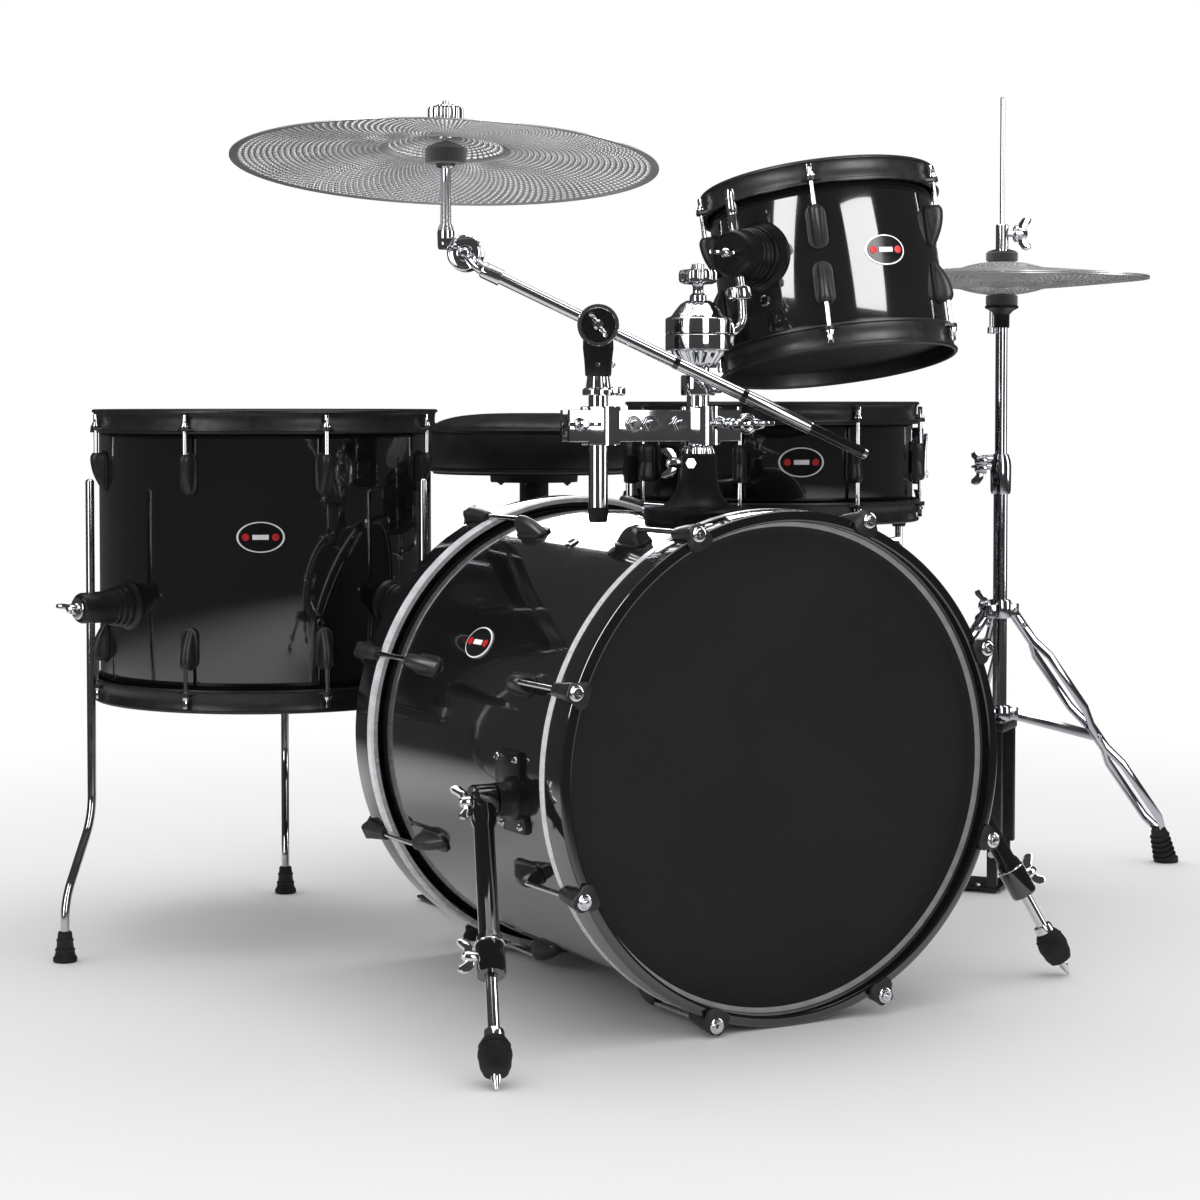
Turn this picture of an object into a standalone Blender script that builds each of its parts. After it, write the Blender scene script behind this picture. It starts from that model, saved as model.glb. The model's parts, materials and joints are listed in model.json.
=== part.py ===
"""Acoustic drum kit: bass drum, rack tom, snare, floor tom, crash, hi-hats, throne and kick pedal.

Units are metres, +Z is up and the drummer sits at +Y, facing -Y. Places are given in the kit frame:
the bass drum's axis lies over x = 0, its front hoop starts at y = 0 and the floor is z = 0. One
empty, kit_origin, moves all of it so that the origin is under the middle of the whole kit.
"""

import math

import bmesh
import bpy
from mathutils import Matrix, Vector

# Driving dimensions
KIT_CENTRE = Vector((0.2228, 0.5589, 0.0))
GAP = 0.0003  # clearance between pieces that touch
WALL = 0.007  # shell thickness of every drum
FILM = 0.0008  # drum head thickness
DRUM_SIDES = 24
BASS_SIDES = 28
CYMBAL_SIDES = 24

BASS_R = 0.254
BASS_DEPTH = 0.457
BASS_HOOP_R = 0.267
BASS_HOOP_WIDTH = 0.044
BASS_AXIS_Z = 0.267
BASS_SHELL_Y = 0.024
BASS_LUGS = [math.radians(115 + 45 * k) for k in range(8)]

TOM_R = 0.127
TOM_DEPTH = 0.176
TOM_CENTRE = Vector((0.2145, 0.255, 0.789))
TOM_TILT = (math.radians(-10.8), math.radians(-1.5))
TOM_ROD_RADIUS = 0.164  # the holder rod's distance from the tom's axis
TOM_ROD_ANGLE = math.radians(199.6)
TOM_LUGS = [math.radians(233 + 72 * k) for k in range(5)]

SNARE_R = 0.1778
SNARE_DEPTH = 0.113
SNARE_CENTRE = Vector((0.337, 0.565, 0.570))
SNARE_LUGS = [math.radians(225.7 + 45 * k) for k in range(8)]
SNARE_STRAINER = math.radians(338.9)  # where the throw-off sits, between two lugs

FLOOR_R = 0.2032
FLOOR_DEPTH = 0.317
FLOOR_CENTRE = Vector((-0.26, 0.789, 0.4587))
FLOOR_LUGS = [math.radians(222.2 + 45 * k) for k in range(8)]
FLOOR_LEG_RADIUS = 0.256
FLOOR_LEGS = ((195, 225), (294, 5), (63, 247.8))  # bracket angle, direction of the foot's bend
FLOOR_FOOT_OFFSET = 0.07

POST = Vector((0, 0.186, 0))  # the tom holder's tube
POST_R = 0.0125
BALL = Vector((0, 0.186, 0.722))
BOOM_POST = Vector((-0.112, 0.207, 0))
BOOM_POST_R = 0.0122
BOOM_DIRECTION = Vector((-0.8763, 0.4818, 0))  # plan direction from the tilter to the cymbal
BOOM_SLOPE = math.radians(25.7)
BOOM_PIVOT = Vector((-0.112, 0.207, 0.7265))
BOOM_OFFSET = 0.0262  # how far in front of its tilter the boom arm runs
BOOM_REACH = 0.1345  # from the tilter to the arm's cymbal end
CRASH_PIVOT = Vector((-0.255, 0.285, 0.926))
CRASH_LEAN = (math.radians(-5.1), math.radians(4.4))
CRASH_R = 0.2286

HAT = Vector((0.666, 0.521, 0))
HAT_R = 0.1905
HAT_LEGS = (9.4, 66, 186)
HAT_LEG_COLLAR_Z = 0.372
HAT_FOOT_RADIUS = 0.339
HAT_PEDAL_ANGLE = 128
HAT_EDGE = 0.806  # height of the bottom cymbal's rim
HAT_HEIGHT = 0.0205
HAT_OPEN = 0.001  # gap between the closed hats
HAT_TUBE_R = 0.0092
HAT_UPPER_R = 0.0078
CYMBAL_SHEET = 0.0016

THRONE = Vector((0.21, 0.975, 0))
SEAT_R = 0.15
SEAT_THICKNESS = 0.084
SEAT_TOP = 0.63

BEATER_LEAN = math.radians(42)  # back from upright, at rest

SPUR_PIVOTS = {"left": Vector((-0.294, 0.12, 0.24)), "right": Vector((0.294, 0.12, 0.24))}
SPUR_TIPS = {"left": Vector((-0.3825, -0.087, 0)), "right": Vector((0.411, 0.057, 0))}

Z_AXIS = Vector((0, 0, 1))
MATERIALS = {}


def clear_scene():
    for obj in list(bpy.data.objects):
        bpy.data.objects.remove(obj)


def finish(name):
    """A Principled material, made once."""
    looks = {
        "gloss_black": ((0.006, 0.006, 0.007), 0.06, 0.0),
        "satin_black": ((0.012, 0.012, 0.013), 0.42, 0.0),
        "chrome": ((0.75, 0.76, 0.78), 0.08, 1.0),
        "head_black": ((0.022, 0.021, 0.023), 0.55, 0.0),
        "cymbal_steel": ((0.62, 0.62, 0.62), 0.28, 1.0),
        "rubber": ((0.015, 0.015, 0.015), 0.75, 0.0),
        "vinyl": ((0.012, 0.012, 0.013), 0.5, 0.0),
        "snare_wire": ((0.6, 0.6, 0.6), 0.3, 1.0),
    }
    if name not in MATERIALS:
        colour, roughness, metallic = looks[name]
        material = bpy.data.materials.new(name)
        material.use_nodes = True
        shader = material.node_tree.nodes["Principled BSDF"]
        shader.inputs["Base Color"].default_value = (*colour, 1)
        shader.inputs["Roughness"].default_value = roughness
        shader.inputs["Metallic"].default_value = metallic
        MATERIALS[name] = material
    return MATERIALS[name]


# Shapes: each returns a closed bmesh


def turned(profile, sides=12, place=Matrix()):
    """Turns (radius, height) points about Z. A profile that leaves the axis alone is a closed loop."""
    bm = bmesh.new()
    rings = []
    for radius, height in profile:
        if radius == 0:
            rings.append([bm.verts.new((0, 0, height))])
            continue
        ring = []
        for i in range(sides):
            turn = 2 * math.pi * (i + 0.5) / sides
            ring.append(bm.verts.new((radius * math.cos(turn), radius * math.sin(turn), height)))
        rings.append(ring)
    pairs = list(zip(rings, rings[1:]))
    if len(rings[0]) > 1:
        pairs.append((rings[-1], rings[0]))
    for low, high in pairs:
        for i in range(sides):
            corners = [low[i % len(low)], low[(i + 1) % len(low)]]
            corners += [high[(i + 1) % len(high)], high[i % len(high)]]
            bm.faces.new(dict.fromkeys(corners))
    bmesh.ops.recalc_face_normals(bm, faces=bm.faces)
    bm.transform(place)
    return bm


def between(start, end):
    """Matrix that puts the origin at start and turns +Z towards end."""
    start, end = Vector(start), Vector(end)
    return Matrix.Translation(start) @ (end - start).to_track_quat("Z", "Y").to_matrix().to_4x4()


def rod(start, end, radius, sides=8):
    length = (Vector(end) - Vector(start)).length
    return turned([(0, 0), (radius, 0), (radius, length), (0, length)], sides, between(start, end))


def sleeve(start, end, outer, inner, sides=12):
    """A tube that is open at both ends."""
    length = (Vector(end) - Vector(start)).length
    profile = [(inner, 0), (outer, 0), (outer, length), (inner, length)]
    return turned(profile, sides, between(start, end))


def block(size, place=Matrix()):
    bm = bmesh.new()
    bmesh.ops.create_cube(bm, size=1, matrix=place @ Matrix.Diagonal((*size, 1)))
    return bm


def bent_rod(points, radius, sides=8):
    """A round rod through points, mitred at each."""
    points = [Vector(p) for p in points]
    bm = bmesh.new()
    rings = []
    side = None
    for i, point in enumerate(points):
        before = (point - points[i - 1]).normalized() if i else None
        after = (points[i + 1] - point).normalized() if i + 1 < len(points) else None
        along = ((before or after) + (after or before)).normalized()
        stretch = 1 / along.dot(after or before)
        if side is None:
            side = along.orthogonal().normalized()
        side = (side - along * side.dot(along)).normalized()
        up = along.cross(side)
        bend = ((after - before) if before and after else Vector()).normalized()
        ring = []
        for k in range(sides):
            turn = 2 * math.pi * k / sides
            out = (side * math.cos(turn) + up * math.sin(turn)) * radius
            out += bend * out.dot(bend) * (stretch - 1)
            ring.append(bm.verts.new(point + out))
        rings.append(ring)
    for low, high in zip(rings, rings[1:]):
        for k in range(sides):
            bm.faces.new((low[k], low[(k + 1) % sides], high[(k + 1) % sides], high[k]))
    bm.faces.new(rings[0])
    bm.faces.new(rings[-1])
    bmesh.ops.recalc_face_normals(bm, faces=bm.faces)
    return bm


def polar(centre, radius, angle, z=None):
    """The point at a plan distance and angle (radians) from centre."""
    centre = Vector(centre)
    height = centre.z if z is None else z
    return Vector((centre.x + radius * math.cos(angle), centre.y + radius * math.sin(angle), height))


def facing(centre, angle, radius, z):
    """Matrix at a point on a drum's side: +X points outwards, +Z stays up."""
    return centre @ Matrix.Rotation(angle, 4, "Z") @ Matrix.Translation((radius, 0, z))


# Nodes


def object_of(name, bm):
    mesh = bpy.data.meshes.new(name)
    bm.to_mesh(mesh)
    bm.free()
    obj = bpy.data.objects.new(name, mesh)
    bpy.context.scene.collection.objects.link(obj)
    return obj


def is_closed(mesh):
    """Whether every edge lies between exactly two faces."""
    uses = {}
    for polygon in mesh.polygons:
        for key in polygon.edge_keys:
            uses[key] = uses.get(key, 0) + 1
    return bool(uses) and all(count == 2 for count in uses.values())


def combine(base, pieces, operation):
    """Adds or cuts each piece with a Boolean, applies the result and removes the pieces."""
    for piece in pieces:
        tool = object_of("tool", piece)
        modifier = base.modifiers.new(operation, "BOOLEAN")
        modifier.operation = operation
        modifier.object = tool
        tool.hide_render = True
        mesh = evaluated(base)
        if not is_closed(mesh):
            modifier.solver = "MANIFOLD"
            mesh = evaluated(base)
        base.modifiers.clear()
        base.data = mesh
        bpy.data.objects.remove(tool)


def evaluated(obj):
    bpy.context.view_layer.update()
    graph = bpy.context.evaluated_depsgraph_get()
    return bpy.data.meshes.new_from_object(obj.evaluated_get(graph))


def node(name, look, pieces, cuts=(), origin=Vector()):
    """One sub-part: the union of its pieces less its cuts, with its origin on its joint."""
    obj = object_of(name, pieces[0])
    obj.name = name
    combine(obj, pieces[1:], "UNION")
    combine(obj, cuts, "DIFFERENCE")
    obj.data.transform(Matrix.Translation(-origin))
    obj.data.name = name
    obj.data.materials.clear()
    obj.data.materials.append(finish(look))
    obj.data.shade_smooth()
    obj.data.set_sharp_from_angle(angle=math.radians(40))
    obj.location = origin
    obj.parent = bpy.data.objects["kit_origin"]
    return obj


# Drum parts, shared by the snare and the toms


def drum_shell(radius, depth, place):
    half = depth / 2
    profile = [(radius - WALL, -half), (radius, -half), (radius, half), (radius - WALL, half)]
    return turned(profile, DRUM_SIDES, place)


def drum_head(radius, half, place):
    """Film over the shell's edge, with the hoop that is glued to it outside the shell."""
    low = half + GAP
    profile = [(0, low), (radius + 0.0012, low), (radius + 0.0012, half - 0.009)]
    profile += [(radius + 0.0046, half - 0.009), (radius + 0.0046, low + FILM), (0, low + FILM)]
    return turned(profile, DRUM_SIDES, place)


def drum_hoop(radius, half, place):
    """Flanged steel hoop: a lower flange for the rods, a wall that presses the head, a rim."""
    profile = [(radius + 0.0050, half - 0.0095), (radius + 0.0050, half + 0.0015)]
    profile += [(radius + 0.0028, half + 0.0015), (radius + 0.0028, half + 0.0185)]
    profile += [(radius + 0.0085, half + 0.0185), (radius + 0.0078, half - 0.0045)]
    profile += [(radius + 0.0150, half - 0.0050), (radius + 0.0150, half - 0.0095)]
    return turned(profile, DRUM_SIDES, place)


def tension_rods(radius, half, angles, place):
    """Rods through the hoop's flange, each a little thicker at its head."""
    rods = []
    for angle in angles:
        spot = facing(place, angle, radius + 0.0113, half)
        rods.append(turned([(0, -0.033), (0.0030, -0.033), (0.0036, 0.006), (0, 0.006)], 5, spot))
    return rods


def lugs(radius, half, angles, place, length=0.045):
    """Lugs under each hoop: a foot on the shell that swells out to take the rod."""
    found = []
    for end in (1, -1):
        for angle in angles:
            spot = facing(place, angle, radius + 0.0075, end * (half - 0.0335 - length / 2))
            found.append(block((0.019, 0.020, length), spot))
    return found


def make_drum(prefix, radius, depth, place, lug_angles, names, origin=Vector(), extras=(), cuts=()):
    """Shell with lugs, both hoops with their rods and both heads."""
    half = depth / 2
    flip = place @ Matrix.Rotation(math.pi, 4, "X")
    flipped = [-angle for angle in lug_angles]
    shell = [drum_shell(radius, depth, place), *lugs(radius, half, lug_angles, place), *extras]
    node(f"{prefix}_shell", "gloss_black", shell, cuts, origin)
    for end, turn, angles in ((names[0], place, lug_angles), (names[1], flip, flipped)):
        hoop = [drum_hoop(radius, half, turn), *tension_rods(radius, half, angles, turn)]
        node(f"{prefix}_{end}_hoop", "satin_black", hoop, (), origin)
        node(f"{prefix}_{end}_head", "head_black", [drum_head(radius, half, turn)], (), origin)


# Bass drum


def bass_place():
    """The bass drum's frame: local +Z points to the front, local +Y up."""
    middle = BASS_SHELL_Y + BASS_DEPTH / 2
    return Matrix.Translation((0, middle, BASS_AXIS_Z)) @ Matrix.Rotation(math.pi / 2, 4, "X")


def bass_shell():
    place = bass_place()
    half = BASS_DEPTH / 2
    profile = [(BASS_R - WALL, -half), (BASS_R, -half), (BASS_R, half), (BASS_R - WALL, half)]
    pieces = [turned(profile, BASS_SIDES, place)]
    for end in (1, -1):
        for angle in BASS_LUGS:
            spot = facing(place, angle, BASS_R + 0.009, end * (half - 0.115))
            pieces.append(block((0.022, 0.022, 0.052), spot))
    for side in (-1, 1):
        start = Vector((side * (BASS_R - 0.006), 0.12, 0.24))
        end = Vector((side * 0.2815, 0.12, 0.24))
        pieces.append(rod(start, end, 0.017, 10))
        plate = Matrix.Translation((side * (BASS_R - 0.0005), 0.135, 0.245))
        pieces.append(block((0.012, 0.055, 0.085), plate))
    hole = rod(POST + Vector((0, 0, 0.49)), POST + Vector((0, 0, 0.56)), 0.018, 12)
    node("bass_drum_shell", "gloss_black", pieces, [hole])


def bass_ends():
    """Hoop with claws and rods, and head, at each end."""
    place = bass_place()
    flip = place @ Matrix.Rotation(math.pi, 4, "X")
    half = BASS_DEPTH / 2
    edge = BASS_SHELL_Y  # how far the hoop stands beyond the shell
    for name, turn, mirror in (("front", place, 1), ("batter", flip, -1)):
        low = half + GAP
        head = [(0, low), (BASS_R + 0.0012, low), (BASS_R + 0.0012, half - 0.010)]
        head += [(BASS_R + 0.0046, half - 0.010), (BASS_R + 0.0046, low + 0.006)]
        head += [(BASS_R - 0.006, low + FILM), (0, low + FILM)]
        node(f"bass_{name}_head", "head_black", [turned(head, BASS_SIDES, turn)])
        top = half + edge
        hoop = [(BASS_R + 0.0052, top - BASS_HOOP_WIDTH), (BASS_HOOP_R, top - BASS_HOOP_WIDTH)]
        hoop += [(BASS_HOOP_R, top), (BASS_R + 0.001, top), (BASS_R + 0.001, half + 0.0085)]
        hoop += [(BASS_R + 0.0052, half + 0.0085)]
        pieces = [turned(hoop, BASS_SIDES, turn)]
        for angle in BASS_LUGS:
            spot = facing(turn, angle * mirror, 0, top)
            grip = Matrix.Translation((BASS_HOOP_R + 0.0045, 0, -0.014))
            pieces.append(block((0.015, 0.026, 0.046), spot @ grip))
            lip = Matrix.Translation((BASS_HOOP_R - 0.004, 0, 0.003))
            pieces.append(block((0.014, 0.026, 0.008), spot @ lip))
            shaft = Matrix.Translation((BASS_HOOP_R + 0.004, 0, 0))
            profile = [(0, -0.1125), (0.003, -0.1125), (0.005, 0.013), (0, 0.013)]
            pieces.append(turned(profile, 5, spot @ shaft))
        node(f"bass_{name}_hoop", "gloss_black", pieces)


def spurs():
    """Folding spur tubes with rods that slide inside them."""
    for name, pivot in SPUR_PIVOTS.items():
        tip = SPUR_TIPS[name]
        out = 1 if pivot.x > 0 else -1
        along = (tip - pivot).normalized()
        length = (tip - pivot).length
        half_knuckle = Vector((out * 0.012, 0, 0))
        knuckle = rod(pivot - half_knuckle, pivot + half_knuckle, 0.017, 10)
        mouth = pivot + along * (length * 0.62)
        tube = rod(pivot + along * 0.004, mouth, 0.0105, 10)
        collar = rod(mouth - along * 0.032, mouth, 0.0150, 10)
        bore = rod(mouth - along * 0.115, mouth + along * 0.01, 0.0068, 10)
        node(f"spur_tube_{name}", "satin_black", [tube, collar, knuckle], [bore], pivot)
        start = mouth - along * 0.075
        reach = (tip - start).length
        end = [(0, 0), (0.0063, 0), (0.0063, reach - 0.062), (0.014, reach - 0.056)]
        end += [(0.017, reach - 0.038), (0.014, reach - 0.018), (0.004, reach - 0.014), (0, reach)]
        node(f"spur_rod_{name}", "chrome", [turned(end, 10, between(start, tip))], (), pivot)


# Tom holder and boom


def tom_holder():
    seat = BASS_AXIS_Z + BASS_R + 0.0006
    base = [(POST_R + 0.0006, seat), (0.058, seat), (0.060, seat + 0.008), (0.040, seat + 0.020)]
    base += [(0.026, seat + 0.040), (0.022, seat + 0.052), (0.020, seat + 0.068)]
    base += [(POST_R + 0.0006, seat + 0.068)]
    at_post = Matrix.Translation(POST)
    node("tom_mount_base", "satin_black", [turned(base, 20, at_post)])
    housing = [(0, 0.42), (POST_R, 0.42), (POST_R, 0.684), (0.020, 0.686), (0.033, 0.697), (0.0345, 0.722),
               (0.032, 0.740), (0.018, 0.752), (0.010, 0.756), (0.010, 0.770), (0.021, 0.772),
               (0.021, 0.788), (0.008, 0.795), (0, 0.795)]
    socket = rod(BALL - Vector((0.012, 0, 0)), BALL + Vector((0.05, 0, 0)), 0.0125, 10)
    node("tom_holder_post", "chrome", [turned(housing, 16, at_post)], [socket], POST)
    direction = (BOOM_POST - POST).normalized()
    middle = (POST + BOOM_POST) / 2 - direction * 0.003
    turn = Matrix.Rotation(math.atan2(direction.y, direction.x), 4, "Z")
    middle.z = 0.6195
    bar = block((0.200, 0.034, 0.042), Matrix.Translation(middle) @ turn)
    holes = []
    for centre, radius in ((POST, POST_R), (BOOM_POST, BOOM_POST_R)):
        low = centre + Vector((0, 0, 0.58))
        holes.append(rod(low, low + Vector((0, 0, 0.08)), radius + 0.0006, 12))
    node("multi_clamp", "chrome", [bar], holes, POST)


def tom_arm():
    """The L-shaped rod: a ball in the holder, a level run, then up through the tom's bracket."""
    tom = tom_place()
    low = tom @ polar((0, 0, 0), TOM_ROD_RADIUS, TOM_ROD_ANGLE, -0.050)
    high = tom @ polar((0, 0, 0), TOM_ROD_RADIUS, TOM_ROD_ANGLE, 0.085)
    start = BALL + Vector((0.002, 0.0002, 0))
    corner = low.copy()
    corner.z = BALL.z
    before = corner - (corner - start).normalized() * 0.016
    after = low + (high - low).normalized() * 0.004
    ball = turned([(0, -0.0095), (0.0078, -0.0055), (0.0095, 0), (0.0078, 0.0055), (0, 0.0095)], 10,
                  Matrix.Translation(start))
    arm = bent_rod([start, before, corner.lerp((before + after) / 2, 0.35), after, high], 0.0055, 8)
    node("tom_l_rod", "chrome", [arm, ball], (), BALL)


def tom_place():
    return (Matrix.Translation(TOM_CENTRE) @ Matrix.Rotation(TOM_TILT[0], 4, "X")
            @ Matrix.Rotation(TOM_TILT[1], 4, "Y"))


def rack_tom():
    place = tom_place()
    rod_foot = place @ polar((0, 0, 0), TOM_ROD_RADIUS, TOM_ROD_ANGLE, 0)
    make_drum("rack_tom", TOM_R, TOM_DEPTH, place, TOM_LUGS, ("batter", "bottom"), rod_foot)
    spot = facing(place, TOM_ROD_ANGLE, 0, 0.012)
    housing = [(0, TOM_R + 0.0006), (0.030, TOM_R + 0.0006), (0.032, TOM_R + 0.010)]
    housing += [(0.030, TOM_R + 0.030), (0.020, TOM_R + 0.050), (0, TOM_R + 0.050)]
    body = turned(housing, 14, spot @ Matrix.Rotation(math.pi / 2, 4, "Y"))
    bore = turned([(0, -0.06), (0.0061, -0.06), (0.0061, 0.06), (0, 0.06)], 10,
                  spot @ Matrix.Translation((TOM_ROD_RADIUS, 0, 0)))
    node("tom_bracket", "satin_black", [body], [bore], rod_foot)


def boom():
    bottom = BOOM_POST + Vector((0, 0, 0.516))
    fork = BOOM_POST + Vector((0, 0, 0.696))
    node("boom_post", "chrome", [rod(bottom, fork, BOOM_POST_R, 12)], (), BOOM_POST)
    along = boom_axis()
    across = boom_across()
    stem = rod(fork + Vector((0, 0, GAP)), BOOM_PIVOT - Vector((0, 0, 0.004)), 0.013, 10)
    drum = rod(BOOM_PIVOT - across * 0.016, BOOM_PIVOT + across * 0.016, 0.021, 14)
    node("boom_tilter_base", "satin_black", [stem, drum], (), BOOM_PIVOT)
    front = BOOM_PIVOT - across * BOOM_OFFSET
    jaw = rod(BOOM_PIVOT - across * 0.0163, BOOM_PIVOT - across * 0.036, 0.019, 14)
    bore = rod(front - along * 0.05, front + along * 0.05, 0.0066, 10)
    node("boom_tilter_jaw", "satin_black", [jaw], [bore], BOOM_PIVOT)
    far = front + along * BOOM_REACH
    near = front - along * 0.318
    tip = near + along * 0.065
    grip = rod(near, tip, 0.0085, 10)
    arm = rod(near + along * 0.01, far, 0.006, 10)
    node("boom_arm", "chrome", [arm, grip], (), BOOM_PIVOT)


def boom_axis():
    return (BOOM_DIRECTION * math.cos(BOOM_SLOPE) + Z_AXIS * math.sin(BOOM_SLOPE)).normalized()


def boom_across():
    """Level direction across the boom, away from the front of the kit."""
    return Vector((BOOM_DIRECTION.y, -BOOM_DIRECTION.x, 0))


def cymbal_tilter():
    across = boom_across()
    end = BOOM_PIVOT - across * BOOM_OFFSET + boom_axis() * BOOM_REACH
    pivot = tilter_pivot()
    eye = rod(pivot - across * 0.0125, pivot - across * GAP, 0.016, 12)
    neck = rod(end + boom_axis() * 0.005, pivot - across * 0.0075, 0.006, 8)
    node("cymbal_tilter_eye", "chrome", [eye, neck], (), pivot)
    drum = rod(pivot + across * GAP, pivot + across * 0.014, 0.016, 12)
    foot = CRASH_PIVOT + Vector((0, 0, -0.122))
    head = CRASH_PIVOT + Vector((0, 0, 0.040))
    arm = rod(pivot + across * 0.007, foot + Vector((0, 0, 0.02)), 0.0065, 8)
    stem = [(0, 0), (0.0075, 0), (0.0075, 0.088), (0.013, 0.092), (0.013, 0.0955)]
    stem += [(0.0035, 0.0955), (0.0035, 0.162), (0, 0.162)]
    node("cymbal_stem", "chrome", [turned(stem, 10, between(foot, head)), arm, drum], (), pivot)


def tilter_pivot():
    """Joint between the boom's end and the cymbal stem."""
    across = boom_across()
    end = BOOM_PIVOT - across * BOOM_OFFSET + boom_axis() * BOOM_REACH
    return end + BOOM_DIRECTION * 0.020 + Vector((0, 0, 0.018)) + across * 0.014


def crash():
    lean = (Matrix.Translation(CRASH_PIVOT) @ Matrix.Rotation(CRASH_LEAN[0], 4, "X")
            @ Matrix.Rotation(CRASH_LEAN[1], 4, "Y"))
    rim = lean @ Matrix.Translation((0, 0, -0.029))
    disc = turned(cymbal(CRASH_R, 0.030, 0.0075), CYMBAL_SIDES, rim)
    node("crash_cymbal", "cymbal_steel", [disc], (), CRASH_PIVOT)
    upright = Matrix.Translation(CRASH_PIVOT)
    felts = [(0.0045, -0.0245), (0.018, -0.0245), (0.018, -0.006), (0.0045, -0.006)]
    node("crash_lower_felt", "rubber", [turned(felts, 14, upright)], (), CRASH_PIVOT)
    nut = [(0.0038, 0.010), (0.017, 0.010), (0.017, 0.018), (0.0085, 0.020), (0.0085, 0.036), (0.0038, 0.036)]
    wings = block((0.034, 0.005, 0.012), upright @ Matrix.Translation((0, 0, 0.028)))
    hole = rod(CRASH_PIVOT, CRASH_PIVOT + Vector((0, 0, 0.05)), 0.0038, 14)
    node("crash_wing_nut", "chrome", [turned(nut, 14, upright), wings], [hole], CRASH_PIVOT)


def cymbal(radius, height, hole):
    """A cymbal's section: bow, shoulder and bell, all one thickness."""
    bell = 0.29 * radius
    outline = [(radius, 0), (radius * 0.62, height * 0.30), (bell, height * 0.55)]
    outline += [(bell * 0.55, height * 0.93), (hole, height)]
    top = [(r, z + CYMBAL_SHEET) for r, z in reversed(outline)]
    return outline + top


# Floor tom


def floor_tom():
    place = Matrix.Translation(FLOOR_CENTRE)
    clamps = []
    bores = []
    for number, (angle, bend) in enumerate(FLOOR_LEGS, 1):
        turn = math.radians(angle)
        spot = facing(place, turn, 0, -0.055)
        cone = [(0, FLOOR_R - 0.003), (0.024, FLOOR_R - 0.003), (0.022, FLOOR_R + 0.030)]
        cone += [(0.014, FLOOR_R + 0.067), (0, FLOOR_R + 0.067)]
        clamps.append(turned(cone, 12, spot @ Matrix.Rotation(math.pi / 2, 4, "Y")))
        leg = polar(FLOOR_CENTRE, FLOOR_LEG_RADIUS, turn, 0)
        bores.append(rod(leg + Vector((0, 0, 0.35)), leg + Vector((0, 0, 0.46)), 0.0057, 8))
        foot = polar(leg, FLOOR_FOOT_OFFSET, math.radians(bend))
        path = ((0, 0.552), (0, 0.165), (0.12, 0.148), (0.88, 0.077), (1, 0.060), (1, 0.020))
        points = [leg.lerp(foot, share) + Vector((0, 0, height)) for share, height in path]
        shoe = [(0, 0), (0.0135, 0), (0.0125, 0.008), (0.009, 0.034), (0, 0.034)]
        pieces = [bent_rod(points, 0.0052, 8), turned(shoe, 10, Matrix.Translation(foot))]
        node(f"floor_tom_leg_{number}", "chrome", pieces, (), leg)
    ends = ("batter", "bottom")
    make_drum("floor_tom", FLOOR_R, FLOOR_DEPTH, place, FLOOR_LUGS, ends, Vector(), clamps, bores)


# Snare drum and its stand


def snare():
    place = Matrix.Translation(SNARE_CENTRE)
    angle = SNARE_STRAINER
    base = facing(place, angle, 0, 0)
    strainer = block((0.016, 0.026, 0.060), base @ Matrix.Translation((SNARE_R + 0.006, 0, 0.004)))
    butt = facing(place, angle + math.pi, SNARE_R + 0.004, -0.01)
    extras = [strainer, block((0.012, 0.030, 0.035), butt)]
    make_drum("snare", SNARE_R, SNARE_DEPTH, place, SNARE_LUGS, ("batter", "bottom"), Vector(), extras)
    wires = block((0.290, 0.044, 0.0016), facing(place, angle, 0, -SNARE_DEPTH / 2 - FILM - 0.0022))
    node("snare_wires", "snare_wire", [wires])
    hinge = base @ Vector((SNARE_R + 0.0205, 0, -0.018))
    lever = block((0.007, 0.016, 0.052), base @ Matrix.Translation((SNARE_R + 0.0205, 0, 0.008)))
    node("throw_off_lever", "chrome", [lever], (), hinge)


def tripod(centre, angles, foot_radius, collar_z, tube_r, tube_top, bore=0.0):
    """A stand's lower tube on three flat legs, each with a brace and a rubber foot."""
    pieces = []
    low = centre + Vector((0, 0, collar_z * 0.45))
    top = centre + Vector((0, 0, tube_top))
    pieces.append(rod(low, top, tube_r, 14))
    pieces.append(rod(centre + Vector((0, 0, collar_z - 0.014)), centre + Vector((0, 0, collar_z + 0.014)),
                      tube_r + 0.007, 14))
    for degrees in angles:
        angle = math.radians(degrees)
        shoulder = polar(centre, tube_r, angle, collar_z)
        toe = polar(centre, foot_radius, angle, 0.024)
        pieces.append(strip(shoulder, toe, 0.020, 0.007))
        middle = shoulder.lerp(toe, 0.42)
        inner = polar(centre, tube_r - 0.002, angle, collar_z * 0.52)
        pieces.append(strip(inner, middle, 0.012, 0.006))
        pieces.append(turned([(0, 0), (0.016, 0), (0.014, 0.034), (0, 0.034)], 8,
                             Matrix.Translation(polar(centre, foot_radius, angle, 0))))
    cuts = []
    if bore:
        cuts.append(rod(low + Vector((0, 0, 0.05)), top + Vector((0, 0, 0.01)), bore, 14))
    return pieces, cuts


def strip(start, end, width, thick):
    """A flat bar between two points, its width level."""
    start, end = Vector(start), Vector(end)
    along = (end - start).normalized()
    level = along.cross(Z_AXIS).normalized()
    up = along.cross(level)
    turn = Matrix((level, up, along)).transposed().to_4x4()
    return block((width, thick, (end - start).length), Matrix.Translation((start + end) / 2) @ turn)


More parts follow.
